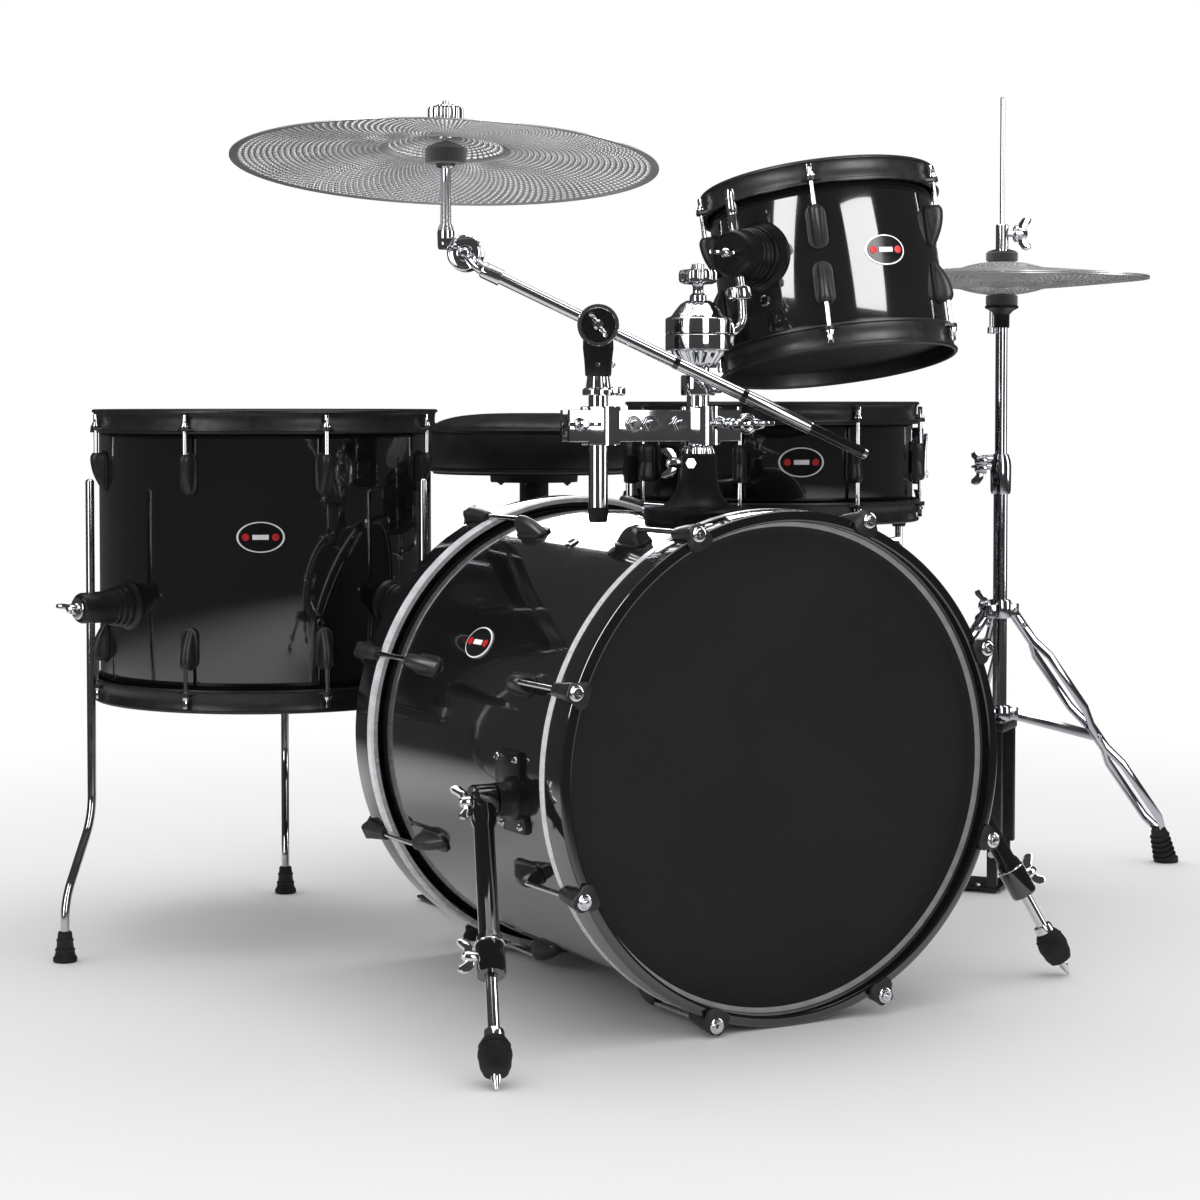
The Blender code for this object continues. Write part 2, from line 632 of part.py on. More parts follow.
def snare_stand():
    centre = Vector((SNARE_CENTRE.x, SNARE_CENTRE.y, 0))
    pieces, cuts = tripod(centre, (0, 120, 240), 0.170, 0.235, 0.0127, 0.330, 0.0103)
    node("snare_stand_base", "chrome", pieces, cuts, centre)
    low = centre + Vector((0, 0, 0.200))
    hub = centre + Vector((0, 0, 0.440))
    half_hub = Vector((0, 0, 0.014))
    basket = [rod(low, hub, 0.0098, 12), rod(hub - half_hub, hub + half_hub, 0.020, 12)]
    for degrees in (0, 120, 240):
        angle = math.radians(degrees)
        inner = polar(hub, 0.010, angle)
        outer = polar(hub, 0.197, angle, 0.462)
        basket.append(strip(inner, outer, 0.012, 0.006))
        basket.append(rod(outer - Vector((0, 0, 0.006)), outer + Vector((0, 0, 0.045)), 0.0055, 8))
    node("snare_basket", "chrome", basket, (), hub)


# Hi-hat


def hat_point(distance, height):
    """A point at a distance from the pole towards the pedal's heel."""
    return polar(HAT, distance, math.radians(HAT_PEDAL_ANGLE), height)


def hat_frame():
    """The hi-hat's own frame: +X points from the pole to the pedal's heel."""
    return Matrix.Translation(HAT) @ Matrix.Rotation(math.radians(HAT_PEDAL_ANGLE), 4, "Z")


def hat_rise(height):
    return HAT + Vector((0, 0, height))


def hi_hat_stand():
    pieces, _ = tripod(HAT, HAT_LEGS, HAT_FOOT_RADIUS, HAT_LEG_COLLAR_Z, HAT_TUBE_R, 0.545)
    place = hat_frame()
    tube = rod(hat_rise(0.214), hat_rise(0.562), HAT_TUBE_R, 14)
    height_collar = rod(hat_rise(0.522), hat_rise(0.575), HAT_TUBE_R + 0.0045, 14)
    bridge = block((0.028, 0.074, 0.014), place @ Matrix.Translation((0, 0, 0.219)))
    pieces = [tube, *pieces[1:], height_collar, bridge]
    for side in (-1, 1):
        bar = Matrix.Translation((0, side * 0.0325, 0.112))
        pieces.append(block((0.022, 0.009, 0.216), place @ bar))
    pieces.append(block((0.300, 0.074, 0.005), place @ Matrix.Translation((0.139, 0, 0.0065))))
    pieces.append(block((0.030, 0.060, 0.020), place @ Matrix.Translation((0.274, 0, 0.016))))
    bore = rod(hat_rise(0.205), hat_rise(0.60), HAT_UPPER_R + 0.0004, 14)
    node("hihat_stand", "chrome", pieces, [bore], HAT)
    heel, toe = hat_point(0.256, 0.037), hat_point(0.012, 0.075)
    node("hihat_footboard", "satin_black", [strip(heel, toe, 0.050, 0.008)], (), heel)


def hi_hat_moving():
    """Upper tube with the bottom cymbal's seat, both cymbals, the pull rod and the clutch."""
    bell = HAT_EDGE - HAT_HEIGHT - CYMBAL_SHEET
    upper = sleeve(hat_rise(0.420), hat_rise(bell - 0.032), HAT_UPPER_R, 0.0046, 12)
    seat = [(0.0046, bell - 0.042), (0.0102, bell - 0.042), (0.0104, bell - 0.025), (0.0216, bell - 0.0165)]
    seat += [(0.0208, bell - 0.013), (0.0208, bell - GAP), (0.0046, bell - GAP)]
    seat = turned(seat, 14, Matrix.Translation(HAT))
    node("hihat_upper_tube", "chrome", [upper, seat], (), HAT)
    flip = Matrix.Translation(hat_rise(HAT_EDGE)) @ Matrix.Rotation(math.pi, 4, "X")
    bottom = turned(cymbal(HAT_R, HAT_HEIGHT, 0.0075), CYMBAL_SIDES, flip)
    node("hihat_bottom_cymbal", "cymbal_steel", [bottom], (), HAT)
    lift = Matrix.Translation(hat_rise(HAT_EDGE + HAT_OPEN))
    top = turned(cymbal(HAT_R, HAT_HEIGHT, 0.0045), CYMBAL_SIDES, lift)
    node("hihat_top_cymbal", "cymbal_steel", [top], (), HAT)
    pull = rod(hat_rise(0.137), hat_rise(1.043), 0.0032, 8)
    chain_end = block((0.012, 0.016, 0.050), hat_frame() @ Matrix.Translation((0, 0, 0.124)))
    node("hihat_pull_rod", "chrome", [pull, chain_end], (), HAT)
    bell = HAT_EDGE + HAT_OPEN + HAT_HEIGHT + CYMBAL_SHEET + GAP
    clutch = [(0.0036, bell), (0.0208, bell), (0.0208, bell + 0.012), (0.0085, bell + 0.015)]
    clutch += [(0.0085, bell + 0.048), (0.0036, bell + 0.048)]
    screw = rod(HAT + Vector((0.0065, 0, bell + 0.036)), HAT + Vector((0.032, 0, bell + 0.036)), 0.007, 8)
    clutch = turned(clutch, 14, Matrix.Translation(HAT))
    node("hihat_clutch", "chrome", [clutch, screw], (), HAT)


# Throne


def throne():
    pieces, cuts = tripod(THRONE, (90, 210, 330), 0.215, 0.250, 0.0150, 0.400, 0.0124)
    node("throne_base", "satin_black", pieces, cuts, THRONE)
    plate_z = SEAT_TOP - SEAT_THICKNESS - 0.012
    post = [(0, 0.270), (0.0118, 0.270), (0.0118, plate_z - 0.04), (0.020, plate_z - 0.04)]
    post += [(0.020, plate_z), (0, plate_z)]
    node("throne_post", "satin_black", [turned(post, 14, Matrix.Translation(THRONE))], (), THRONE)
    low = plate_z + GAP
    seat = [(0, low), (0.060, low), (0.060, low + 0.012), (SEAT_R - 0.006, low + 0.012)]
    seat += [(SEAT_R, low + 0.026), (SEAT_R, SEAT_TOP - 0.024), (SEAT_R - 0.022, SEAT_TOP), (0, SEAT_TOP)]
    node("throne_seat", "vinyl", [turned(seat, 32, Matrix.Translation(THRONE))], (), THRONE)


# Kick pedal


def kick_pedal():
    axle_y, axle_z, heel_y = 0.560, 0.205, 0.800
    pieces = [block((0.090, 0.316, 0.005), Matrix.Translation((0, 0.666, 0.0045)))]
    for side in (-1, 1):
        pieces.append(block((0.010, 0.022, 0.226), Matrix.Translation((side * 0.050, axle_y, 0.114))))
        pieces.append(block((0.020, 0.022, 0.005), Matrix.Translation((side * 0.047, axle_y, 0.0045))))
    pieces.append(block((0.070, 0.026, 0.018), Matrix.Translation((0, heel_y, 0.014))))
    node("kick_pedal_frame", "satin_black", pieces)
    heel = Vector((0, heel_y - 0.020, 0.034))
    toe = Vector((0, axle_y + 0.012, 0.118))
    node("kick_footboard", "satin_black", [strip(heel, toe, 0.072, 0.008)], (), heel)
    axle = Vector((0, axle_y, axle_z))
    pieces = [rod(axle - Vector((0.0446, 0, 0)), axle + Vector((0.0446, 0, 0)), 0.0065, 10)]
    lean = Vector((0, math.sin(BEATER_LEAN), math.cos(BEATER_LEAN)))
    pieces.append(rod(axle, axle + lean * 0.185, 0.004, 8))
    ahead = Vector((0, math.cos(BEATER_LEAN), -math.sin(BEATER_LEAN)))
    mallet = axle + lean * 0.170
    pieces.append(rod(mallet - ahead * 0.026, mallet + ahead * 0.026, 0.025, 12))
    node("kick_beater", "satin_black", pieces, (), axle)


def main():
    clear_scene()
    kit = bpy.data.objects.new("kit_origin", None)
    kit.location = -KIT_CENTRE
    bpy.context.scene.collection.objects.link(kit)
    bass_shell()
    bass_ends()
    spurs()
    tom_holder()
    tom_arm()
    rack_tom()
    boom()
    cymbal_tilter()
    crash()
    floor_tom()
    snare()
    snare_stand()
    hi_hat_stand()
    hi_hat_moving()
    throne()
    kick_pedal()


main()
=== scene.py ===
import json
from math import atan2, copysign, cos, hypot, pi, radians, sin, sqrt

import bmesh
import bpy
from mathutils import Euler, Matrix, Vector

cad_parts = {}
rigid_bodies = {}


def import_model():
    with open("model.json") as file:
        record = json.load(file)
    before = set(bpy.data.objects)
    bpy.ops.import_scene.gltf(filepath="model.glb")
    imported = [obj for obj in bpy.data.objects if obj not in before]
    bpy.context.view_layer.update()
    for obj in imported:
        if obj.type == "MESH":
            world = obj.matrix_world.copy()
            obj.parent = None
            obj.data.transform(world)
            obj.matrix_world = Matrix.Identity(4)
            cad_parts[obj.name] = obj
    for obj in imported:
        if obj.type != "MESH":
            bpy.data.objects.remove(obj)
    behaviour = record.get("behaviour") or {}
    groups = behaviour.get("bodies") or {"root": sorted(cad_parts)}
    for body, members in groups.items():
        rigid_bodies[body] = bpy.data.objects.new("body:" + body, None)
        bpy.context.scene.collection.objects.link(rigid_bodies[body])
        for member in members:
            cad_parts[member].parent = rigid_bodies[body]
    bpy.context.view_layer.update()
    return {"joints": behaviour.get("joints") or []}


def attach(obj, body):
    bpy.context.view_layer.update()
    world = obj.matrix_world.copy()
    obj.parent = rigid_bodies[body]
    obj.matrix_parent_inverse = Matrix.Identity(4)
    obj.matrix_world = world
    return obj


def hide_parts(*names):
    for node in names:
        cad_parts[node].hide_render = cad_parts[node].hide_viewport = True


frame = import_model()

# Acoustic drum kit, dressed. Units are metres. A tom or snare has local +Z towards its batter head,
# and the bass drum has it towards the front.

JOINTS = {joint["name"]: joint for joint in frame["joints"]}
Z_AXIS = Vector((0, 0, 1))
OUTWARDS = Matrix.Rotation(pi / 2, 4, "Y")  # turns +Z to +X
UPRIGHT = Matrix.Rotation(pi / 2, 4, "X")  # turns +Y to +Z
FLIPPED = Matrix.Rotation(pi, 4, "X")
ROUND = 128  # sides of the large turned pieces


# Materials


class Look:
    """A Principled material with procedural grain."""

    def __init__(self, name, colour, roughness, metallic=0.0, **inputs):
        self.material = bpy.data.materials.new(name)
        self.material.use_nodes = True
        self.tree = self.material.node_tree
        self.shader = self.tree.nodes["Principled BSDF"]
        self.set("Base Color", (*colour, 1))
        self.set("Roughness", roughness)
        self.set("Metallic", metallic)
        for key, value in inputs.items():
            self.set(key.replace("_", " "), value)
        self.base = colour
        self.coords = self.tree.nodes.new("ShaderNodeTexCoord")
        self.bump = None

    def set(self, key, value):
        self.shader.inputs[key].default_value = value

    def node(self, kind, **values):
        made = self.tree.nodes.new(kind)
        for key, value in values.items():
            if key in made.inputs:
                made.inputs[key].default_value = value
            else:
                setattr(made, key, value)
        return made

    def link(self, out, into):
        self.tree.links.new(out, into)

    def texture(self, kind, scale, stretch=(1, 1, 1), **values):
        mapping = self.node("ShaderNodeMapping")
        mapping.inputs["Scale"].default_value = stretch
        self.link(self.coords.outputs["Object"], mapping.inputs["Vector"])
        made = self.node(kind, Scale=scale, **values)
        self.link(mapping.outputs["Vector"], made.inputs["Vector"])
        return made

    def ramp(self, source, low, high, start=0.35, stop=0.65):
        made = self.node("ShaderNodeValToRGB")
        made.color_ramp.elements[0].position = start
        made.color_ramp.elements[1].position = stop
        made.color_ramp.elements[0].color = low
        made.color_ramp.elements[1].color = high
        self.link(source, made.inputs["Fac"])
        return made

    def vary_roughness(self, scale, low, high, stretch=(1, 1, 1)):
        noise = self.texture("ShaderNodeTexNoise", scale, stretch, Detail=4.0)
        spread = self.node("ShaderNodeMapRange")
        spread.inputs["From Min"].default_value = 0.3
        spread.inputs["From Max"].default_value = 0.7
        spread.inputs["To Min"].default_value = low
        spread.inputs["To Max"].default_value = high
        self.link(noise.outputs["Fac"], spread.inputs["Value"])
        self.link(spread.outputs["Result"], self.shader.inputs["Roughness"])
        return self

    def vary_colour(self, scale, other, stretch=(1, 1, 1)):
        noise = self.texture("ShaderNodeTexNoise", scale, stretch, Detail=5.0)
        ramp = self.ramp(noise.outputs["Fac"], (*self.base, 1), (*other, 1))
        self.link(ramp.outputs["Color"], self.shader.inputs["Base Color"])
        return self

    def relief(self, source, strength, distance):
        made = self.node("ShaderNodeBump", Strength=strength, Distance=distance)
        self.link(source, made.inputs["Height"])
        if self.bump:
            self.link(self.bump.outputs["Normal"], made.inputs["Normal"])
        self.bump = made
        self.link(made.outputs["Normal"], self.shader.inputs["Normal"])
        return self

    def grain(self, scale, strength, distance, stretch=(1, 1, 1)):
        noise = self.texture("ShaderNodeTexNoise", scale, stretch, Detail=3.0)
        return self.relief(noise.outputs["Fac"], strength, distance)


def lacquer():
    look = Look("gloss_lacquer", (0.0035, 0.0035, 0.004), 0.09, Coat_Weight=1.0, Coat_Roughness=0.03,
                Coat_IOR=1.7)
    look.vary_colour(3.0, (0.006, 0.006, 0.0065))
    look.vary_roughness(9.0, 0.06, 0.16)
    return look.grain(26.0, 0.05, 0.001)


def satin_black():
    look = Look("satin_black", (0.0075, 0.0075, 0.008), 0.36, Specular_IOR_Level=0.42)
    look.vary_colour(60.0, (0.012, 0.012, 0.0125))
    look.vary_roughness(90.0, 0.30, 0.44)
    return look.grain(900.0, 0.12, 0.0002)


def chrome():
    look = Look("chrome", (0.78, 0.79, 0.81), 0.05, 1.0)
    look.vary_colour(14.0, (0.66, 0.67, 0.70))
    return look.vary_roughness(40.0, 0.03, 0.10)


def dark_chrome():
    look = Look("tube_chrome", (0.60, 0.61, 0.64), 0.07, 1.0)
    look.vary_colour(5.0, (0.42, 0.43, 0.46), (1, 1, 0.15))
    return look.vary_roughness(30.0, 0.04, 0.13)


def film(name, colour, roughness):
    look = Look(name, colour, roughness, Specular_IOR_Level=0.3)
    look.vary_colour(7.0, tuple(c * 1.22 for c in colour))
    look.vary_roughness(220.0, roughness - 0.06, roughness + 0.08)
    return look.grain(1500.0, 0.10, 0.00012)


def steel():
    """Stamped sheet steel with a fine noise grain."""
    look = Look("cymbal_steel", (0.62, 0.62, 0.63), 0.30, 0.8)
    look.vary_colour(6.0, (0.52, 0.52, 0.53))
    look.vary_roughness(24.0, 0.24, 0.38)
    return look.grain(700.0, 0.10, 0.0002)


def rubber():
    look = Look("black_rubber", (0.011, 0.011, 0.011), 0.68, Specular_IOR_Level=0.35)
    look.vary_colour(50.0, (0.020, 0.020, 0.020))
    look.vary_roughness(120.0, 0.60, 0.78)
    return look.grain(500.0, 0.25, 0.0004)


def felt():
    look = Look("black_felt", (0.010, 0.010, 0.010), 0.95, Sheen_Weight=0.5, Sheen_Roughness=0.6)
    look.vary_colour(400.0, (0.028, 0.028, 0.028))
    return look.grain(1400.0, 0.8, 0.0008)


def vinyl():
    look = Look("seat_vinyl", (0.009, 0.009, 0.010), 0.42, Specular_IOR_Level=0.45)
    look.vary_colour(30.0, (0.016, 0.016, 0.017))
    look.vary_roughness(70.0, 0.36, 0.52)
    pores = look.texture("ShaderNodeTexVoronoi", 420.0)
    look.relief(pores.outputs["Distance"], 0.35, 0.0006)
    return look.grain(55.0, 0.2, 0.001)


def plain(name, colour, roughness, metallic=0.0):
    look = Look(name, colour, roughness, metallic)
    look.vary_colour(80.0, tuple(c * 0.8 for c in colour))
    return look.vary_roughness(60.0, max(0.02, roughness - 0.05), roughness + 0.06)


LOOKS = {"lacquer": (lacquer(), "shell_lacquer"), "hoop": (lacquer(), "wood_hoop"),
         "satin": (satin_black(), "black_hoop"), "black": (satin_black(), "black_steel"),
         "gloss": (lacquer(), "black_steel"), "chrome": (chrome(), "chrome_steel"),
         "tube": (dark_chrome(), "chrome_steel"),
         "front_film": (film("front_film", (0.013, 0.012, 0.014), 0.66), "drum_head"),
         "film": (film("black_film", (0.012, 0.012, 0.013), 0.5), "drum_head"),
         # collar_ring: light grey paint on the head's collar curve, a painted highlight and not a colour
         # that the head has
         "ring": (plain("collar_painted_highlight", (0.30, 0.30, 0.31), 0.35), "drum_head"),
         "steel": (steel(), "cymbal_metal"), "rubber": (rubber(), "black_steel"), "felt": (felt(), "felt"),
         "vinyl": (vinyl(), "seat_vinyl"),
         "wire": (plain("snare_wire", (0.62, 0.62, 0.63), 0.25, 1.0), "steel_wire"),
         "inlay": (plain("silver_inlay", (0.62, 0.63, 0.65), 0.28, 0.35), "wood_hoop"),
         "badge_black": (plain("badge_black", (0.006, 0.006, 0.006), 0.2), "shell_lacquer"),
         "badge_silver": (plain("badge_silver", (0.80, 0.80, 0.82), 0.3, 0.1), "shell_lacquer"),
         "badge_red": (plain("badge_red", (0.45, 0.008, 0.010), 0.3), "shell_lacquer"),
         "pressed": (plain("black_plastic", (0.010, 0.010, 0.010), 0.5), "black_steel"), }


# Geometry


def between(start, end):
    """Matrix that puts the origin at start and turns +Z towards end."""
    start, end = Vector(start), Vector(end)
    return moved(start) @ (end - start).to_track_quat("Z", "Y").to_matrix().to_4x4()


def axes(origin, x_axis, z_axis):
    """Matrix with the given origin, +Z, and +X as near to x_axis as it can be."""
    z_axis = Vector(z_axis).normalized()
    y_axis = z_axis.cross(Vector(x_axis)).normalized()
    turn = Matrix((y_axis.cross(z_axis), y_axis, z_axis)).transposed().to_4x4()
    return moved(origin) @ turn


def turn_z(angle):
    return Matrix.Rotation(angle, 4, "Z")


def moved(place):
    return Matrix.Translation(place)


def shift(x, y, z):
    return Matrix.Translation((x, y, z))


def upward(height):
    return Vector((0, 0, height))


def mm(*points, x=0.0, y=0.0):
    """Points of a profile or an outline: millimetres from (x, y)."""
    return [(x + a / 1000, y + b / 1000) for a, b in points]


def facing(centre, angle, radius, z):
    """Matrix at a point on a drum's side: +X points outwards, +Z stays along the drum."""
    return centre @ turn_z(angle) @ shift(radius, 0, z)


def polar(centre, radius, angle, z=None):
    centre = Vector(centre)
    height = centre.z if z is None else z
    return Vector((centre.x + radius * cos(angle), centre.y + radius * sin(angle), height))


def arc(centre, radius, start, stop, steps):
    """(radius, height) points of a round stretch in a turned profile; angles in degrees."""
    points = []
    for i in range(steps + 1):
        turn = radians(start + (stop - start) * i / steps)
        points.append((centre[0] + radius * cos(turn), centre[1] + radius * sin(turn)))
    return points


class Shape:
    """Collects closed forms of one material into one mesh."""

    def __init__(self):
        self.bm = bmesh.new()

    def add_rings(self, rings, closed_loop, capped=False):
        pairs = list(zip(rings, rings[1:]))
        if closed_loop:
            pairs.append((rings[-1], rings[0]))
        faces = []
        for low, high in pairs:
            sides = max(len(low), len(high))
            for i in range(sides):
                corners = [low[i % len(low)], low[(i + 1) % len(low)]]
                corners += [high[(i + 1) % len(high)], high[i % len(high)]]
                corners = list(dict.fromkeys(corners))
                if len(corners) > 2:
                    faces.append(self.bm.faces.new(corners))
        if capped:
            faces.append(self.bm.faces.new(rings[0]))
            faces.append(self.bm.faces.new(rings[-1]))
        bmesh.ops.recalc_face_normals(self.bm, faces=faces)
        return self

    def turned(self, profile, place=Matrix(), sides=32, flutes=None):
        """Turns (radius, height) points about Z; one that never touches the axis closes on itself.
        flutes, (count, depth), cuts that many hollows to a share of the radius."""
        rings = []
        for radius, height in profile:
            if radius < 1e-7:
                rings.append([self.bm.verts.new(place @ upward(height))])
                continue
            ring = []
            for i in range(sides):
                turn = 2 * pi * i / sides
                reach = radius
                if flutes:
                    reach *= 1 - flutes[1] * (0.5 + 0.5 * cos(flutes[0] * turn)) ** 2
                point = Vector((reach * cos(turn), reach * sin(turn), height))
                ring.append(self.bm.verts.new(place @ point))
            rings.append(ring)
        return self.add_rings(rings, len(rings[0]) > 1 and len(rings[-1]) > 1)

    def rod(self, start, end, radius, sides=24, edge=0.0008, taper=1.0):
        length = (Vector(end) - Vector(start)).length
        edge = min(edge, radius * 0.4, length * 0.3)
        far = radius * taper
        profile = [(0, 0), (radius - edge, 0), (radius, edge), (far, length - edge), (far - edge, length),
                   (0, length)]
        return self.turned(profile, between(start, end), sides)

    def tube(self, start, end, outer, inner, sides=24):
        length = (Vector(end) - Vector(start)).length
        return self.turned([(inner, 0), (outer, 0), (outer, length), (inner, length)], between(start, end),
                           sides)

    def ball(self, centre, radius, sides=24, squash=1.0):
        profile = arc((0, 0), radius, -90, 90, sides // 2)
        profile = [(max(r, 0), z * squash) for r, z in profile]
        profile[0] = (0, profile[0][1])
        profile[-1] = (0, profile[-1][1])
        return self.turned(profile, moved(centre), sides)

    def ring(self, place, radius, thickness, sides=32, tube_sides=10):
        """A torus about the local Z."""
        profile = arc((radius, 0), thickness, 0, 360 - 360 / tube_sides, tube_sides - 1)
        return self.turned(profile, place, sides)

    def outline(self, points, thickness, place=Matrix(), bevel=0.0):
        """A flat plate: the (x, y) outline, thickened along local Z about its middle."""
        low = [self.bm.verts.new(place @ Vector((x, y, -thickness / 2))) for x, y in points]
        high = [self.bm.verts.new(place @ Vector((x, y, thickness / 2))) for x, y in points]
        faces = [self.bm.faces.new(low), self.bm.faces.new(high)]
        for i in range(len(points)):
            j = (i + 1) % len(points)
            faces.append(self.bm.faces.new((low[i], low[j], high[j], high[i])))
        bmesh.ops.recalc_face_normals(self.bm, faces=faces)
        if bevel:
            edges = [e for e in dict.fromkeys(e for f in faces[:2] for e in f.edges)]
            bmesh.ops.bevel(self.bm, geom=edges, offset=bevel, segments=2, profile=0.6, affect="EDGES")
        return self

    def block(self, size, place=Matrix(), bevel=0.001, segments=2):
        made = bmesh.ops.create_cube(self.bm, size=1, matrix=place @ Matrix.Diagonal((*size, 1)))
        edges = list(dict.fromkeys(e for v in made["verts"] for e in v.link_edges))
        if bevel:
            bmesh.ops.bevel(self.bm, geom=edges, offset=min(bevel, min(size) * 0.45), segments=segments,
                            profile=0.6, affect="EDGES")
        return self

    def pipe(self, points, radius, sides=16, round_off=0.0, steps=8):
        """A round rod along points, with the corners rounded off to the given distance."""
        path = rounded(points, round_off, steps) if round_off else [Vector(p) for p in points]
        rings = []
        side = None
        for i, point in enumerate(path):
            before = (point - path[i - 1]).normalized() if i else None
            after = (path[i + 1] - point).normalized() if i + 1 < len(path) else None
            along = ((before or after) + (after or before)).normalized()
            if side is None:
                side = along.orthogonal().normalized()
            side = (side - along * side.dot(along)).normalized()
            up = along.cross(side)
            ring = []
            for k in range(sides):
                turn = 2 * pi * k / sides
                ring.append(self.bm.verts.new(point + (side * cos(turn) + up * sin(turn)) * radius))
            rings.append(ring)
        return self.add_rings(rings, False, True)

    def loft(self, sections):
        """Closed sections of equal count, joined one to the next and capped."""
        rings = [[self.bm.verts.new(point) for point in section] for section in sections]
        return self.add_rings(rings, False, True)

    def strip(self, start, end, width, thick, level=None, bevel=0.0008):
        """A flat bar between two points; its width runs along level."""
        start, end = Vector(start), Vector(end)
        along = (end - start).normalized()
        level = along.cross(Z_AXIS).normalized() if level is None else Vector(level)
        place = axes((start + end) / 2, level, along)
        return self.block((width, thick, (end - start).length), place, bevel)

    def bolt(self, place, radius=0.005, height=0.004, slot=True):
        """A round screw head on local +Z with a square drive."""
        profile = [(0, 0), (radius, 0), (radius, height * 0.55), (radius * 0.86, height), (0, height)]
        self.turned(profile, place, 20)
        if slot:
            self.block((radius * 0.75, radius * 0.75, height * 1.6), place @ shift(0, 0, height * 0.9),
                       0.0002)
        return self

    def wing(self, place, span=0.036, thick=0.005):
        """A wing screw: a hub on local +Z with two rounded lobes along local X."""
        hub = [(0, 0), (thick * 1.1, 0), (thick * 1.2, 0.004), (thick * 0.9, 0.013), (thick * 0.5, 0.015),
               (0, 0.015)]
        self.turned(hub, place, 20)
        for side in (-1, 1):
            lobe = [(0.002, 0.003), (span * 0.30, 0.004), (span * 0.46, 0.009), (span * 0.50, 0.015),
                    (span * 0.44, 0.020), (span * 0.33, 0.019), (span * 0.20, 0.013), (0.002, 0.012)]
            flat = place @ UPRIGHT
            self.outline([(side * x, z) for x, z in lobe], thick * 0.8, flat, 0.0009)
        return self

    def hexagon(self, place, radius, height):
        """A hexagonal nut on local +Z."""
        profile = [(0, 0), (radius * 0.94, 0), (radius, height * 0.12), (radius, height * 0.88),
                   (radius * 0.94, height), (0, height)]
        return self.turned(profile, place, 6)

    def piece(self, name, look, body, replaces=(), sharp=38):
        mesh = bpy.data.meshes.new(name)
        self.bm.transform(moved(KIT))
        self.bm.to_mesh(mesh)
        self.bm.free()
        mesh.shade_smooth()
        mesh.set_sharp_from_angle(angle=radians(sharp))
        obj = bpy.data.objects.new(name, mesh)
        bpy.context.scene.collection.objects.link(obj)
        material, slot = LOOKS[look]
        mesh.materials.append(material.material)
        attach(obj, body)
        if replaces:
            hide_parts(*replaces)
        return obj


def rounded(points, distance, steps):
    """The points with each inner corner replaced by a smooth curve."""
    points = [Vector(p) for p in points]
    path = [points[0]]
    for before, corner, after in zip(points, points[1:], points[2:]):
        reach = min(distance, (corner - before).length * 0.49, (after - corner).length * 0.49)
        start = corner + (before - corner).normalized() * reach
        stop = corner + (after - corner).normalized() * reach
        for i in range(steps + 1):
            t = i / steps
            path.append(start.lerp(corner, t).lerp(corner.lerp(stop, t), t))
    return path + [points[-1]]


def obround(width, length, steps=10):
    """Outline of a slot shape, its length along Y."""
    radius = width / 2
    points = []
    for i in range(steps + 1):
        turn = pi * i / steps
        points.append((radius * cos(turn), length / 2 - radius + radius * sin(turn)))
    for i in range(steps + 1):
        turn = pi + pi * i / steps
        points.append((radius * cos(turn), -length / 2 + radius + radius * sin(turn)))
    return points


def ellipse(width, height, steps=40):
    return [(width / 2 * cos(2 * pi * i / steps),
             height / 2 * sin(2 * pi * i / steps)) for i in range(steps)]


# Shared drum hardware


def lug(shape, spot, length=0.045, reach=0.0185, width=0.021):
    """One lug: an obround foot and a swept horn that is thickest where the rod enters, at local +Z."""
    on_shell = spot @ OUTWARDS @ turn_z(pi / 2)
    shape.outline(obround(width * 1.05, length * 1.12), 0.0032, on_shell @ shift(0, 0, 0.0012), 0.0009)
    sections = []
    steps = 14
    for i in range(steps + 1):
        t = i / steps
        z = length / 2 - length * t
        depth = 0.004 + (reach - 0.004) * cos(pi / 2 * t ** 1.3) * min(1, 0.78 + t * 2.2)
        half = width / 2 * (0.80 - 0.30 * t ** 1.6) * min(1, 0.80 + t * 2.5)
        section = []
        for k in range(13):
            turn = -pi / 2 + pi * k / 12
            bulge = abs(cos(turn)) ** 0.62
            section.append(spot @ Vector((depth * bulge, half * sin(turn), z)))
        sections.append(section)
    shape.loft(sections)


def rod_and_washer(shape, spot, top, bottom, radius=0.0027):
    """A tension rod along local Z: round shaft, collar and square drive head."""
    shape.turned([(0, bottom), (radius, bottom), (radius, top - 0.009), (radius * 1.05, top - 0.009),
                  (radius * 1.05, top), (0, top)], spot, 14)
    shape.turned(mm((0, -10.5), (5.8, -10.5), (5.8, -8.8), (0, -8.8), y=top), spot, 20)
    shape.turned(mm((0, -8.8), (4.6, -8.8), (4, -5.5), (0, -5.5), y=top), spot, 20)
    shape.block((0.0052, 0.0052, 0.0095), spot @ shift(0, 0, top - 0.0008), 0.0005)


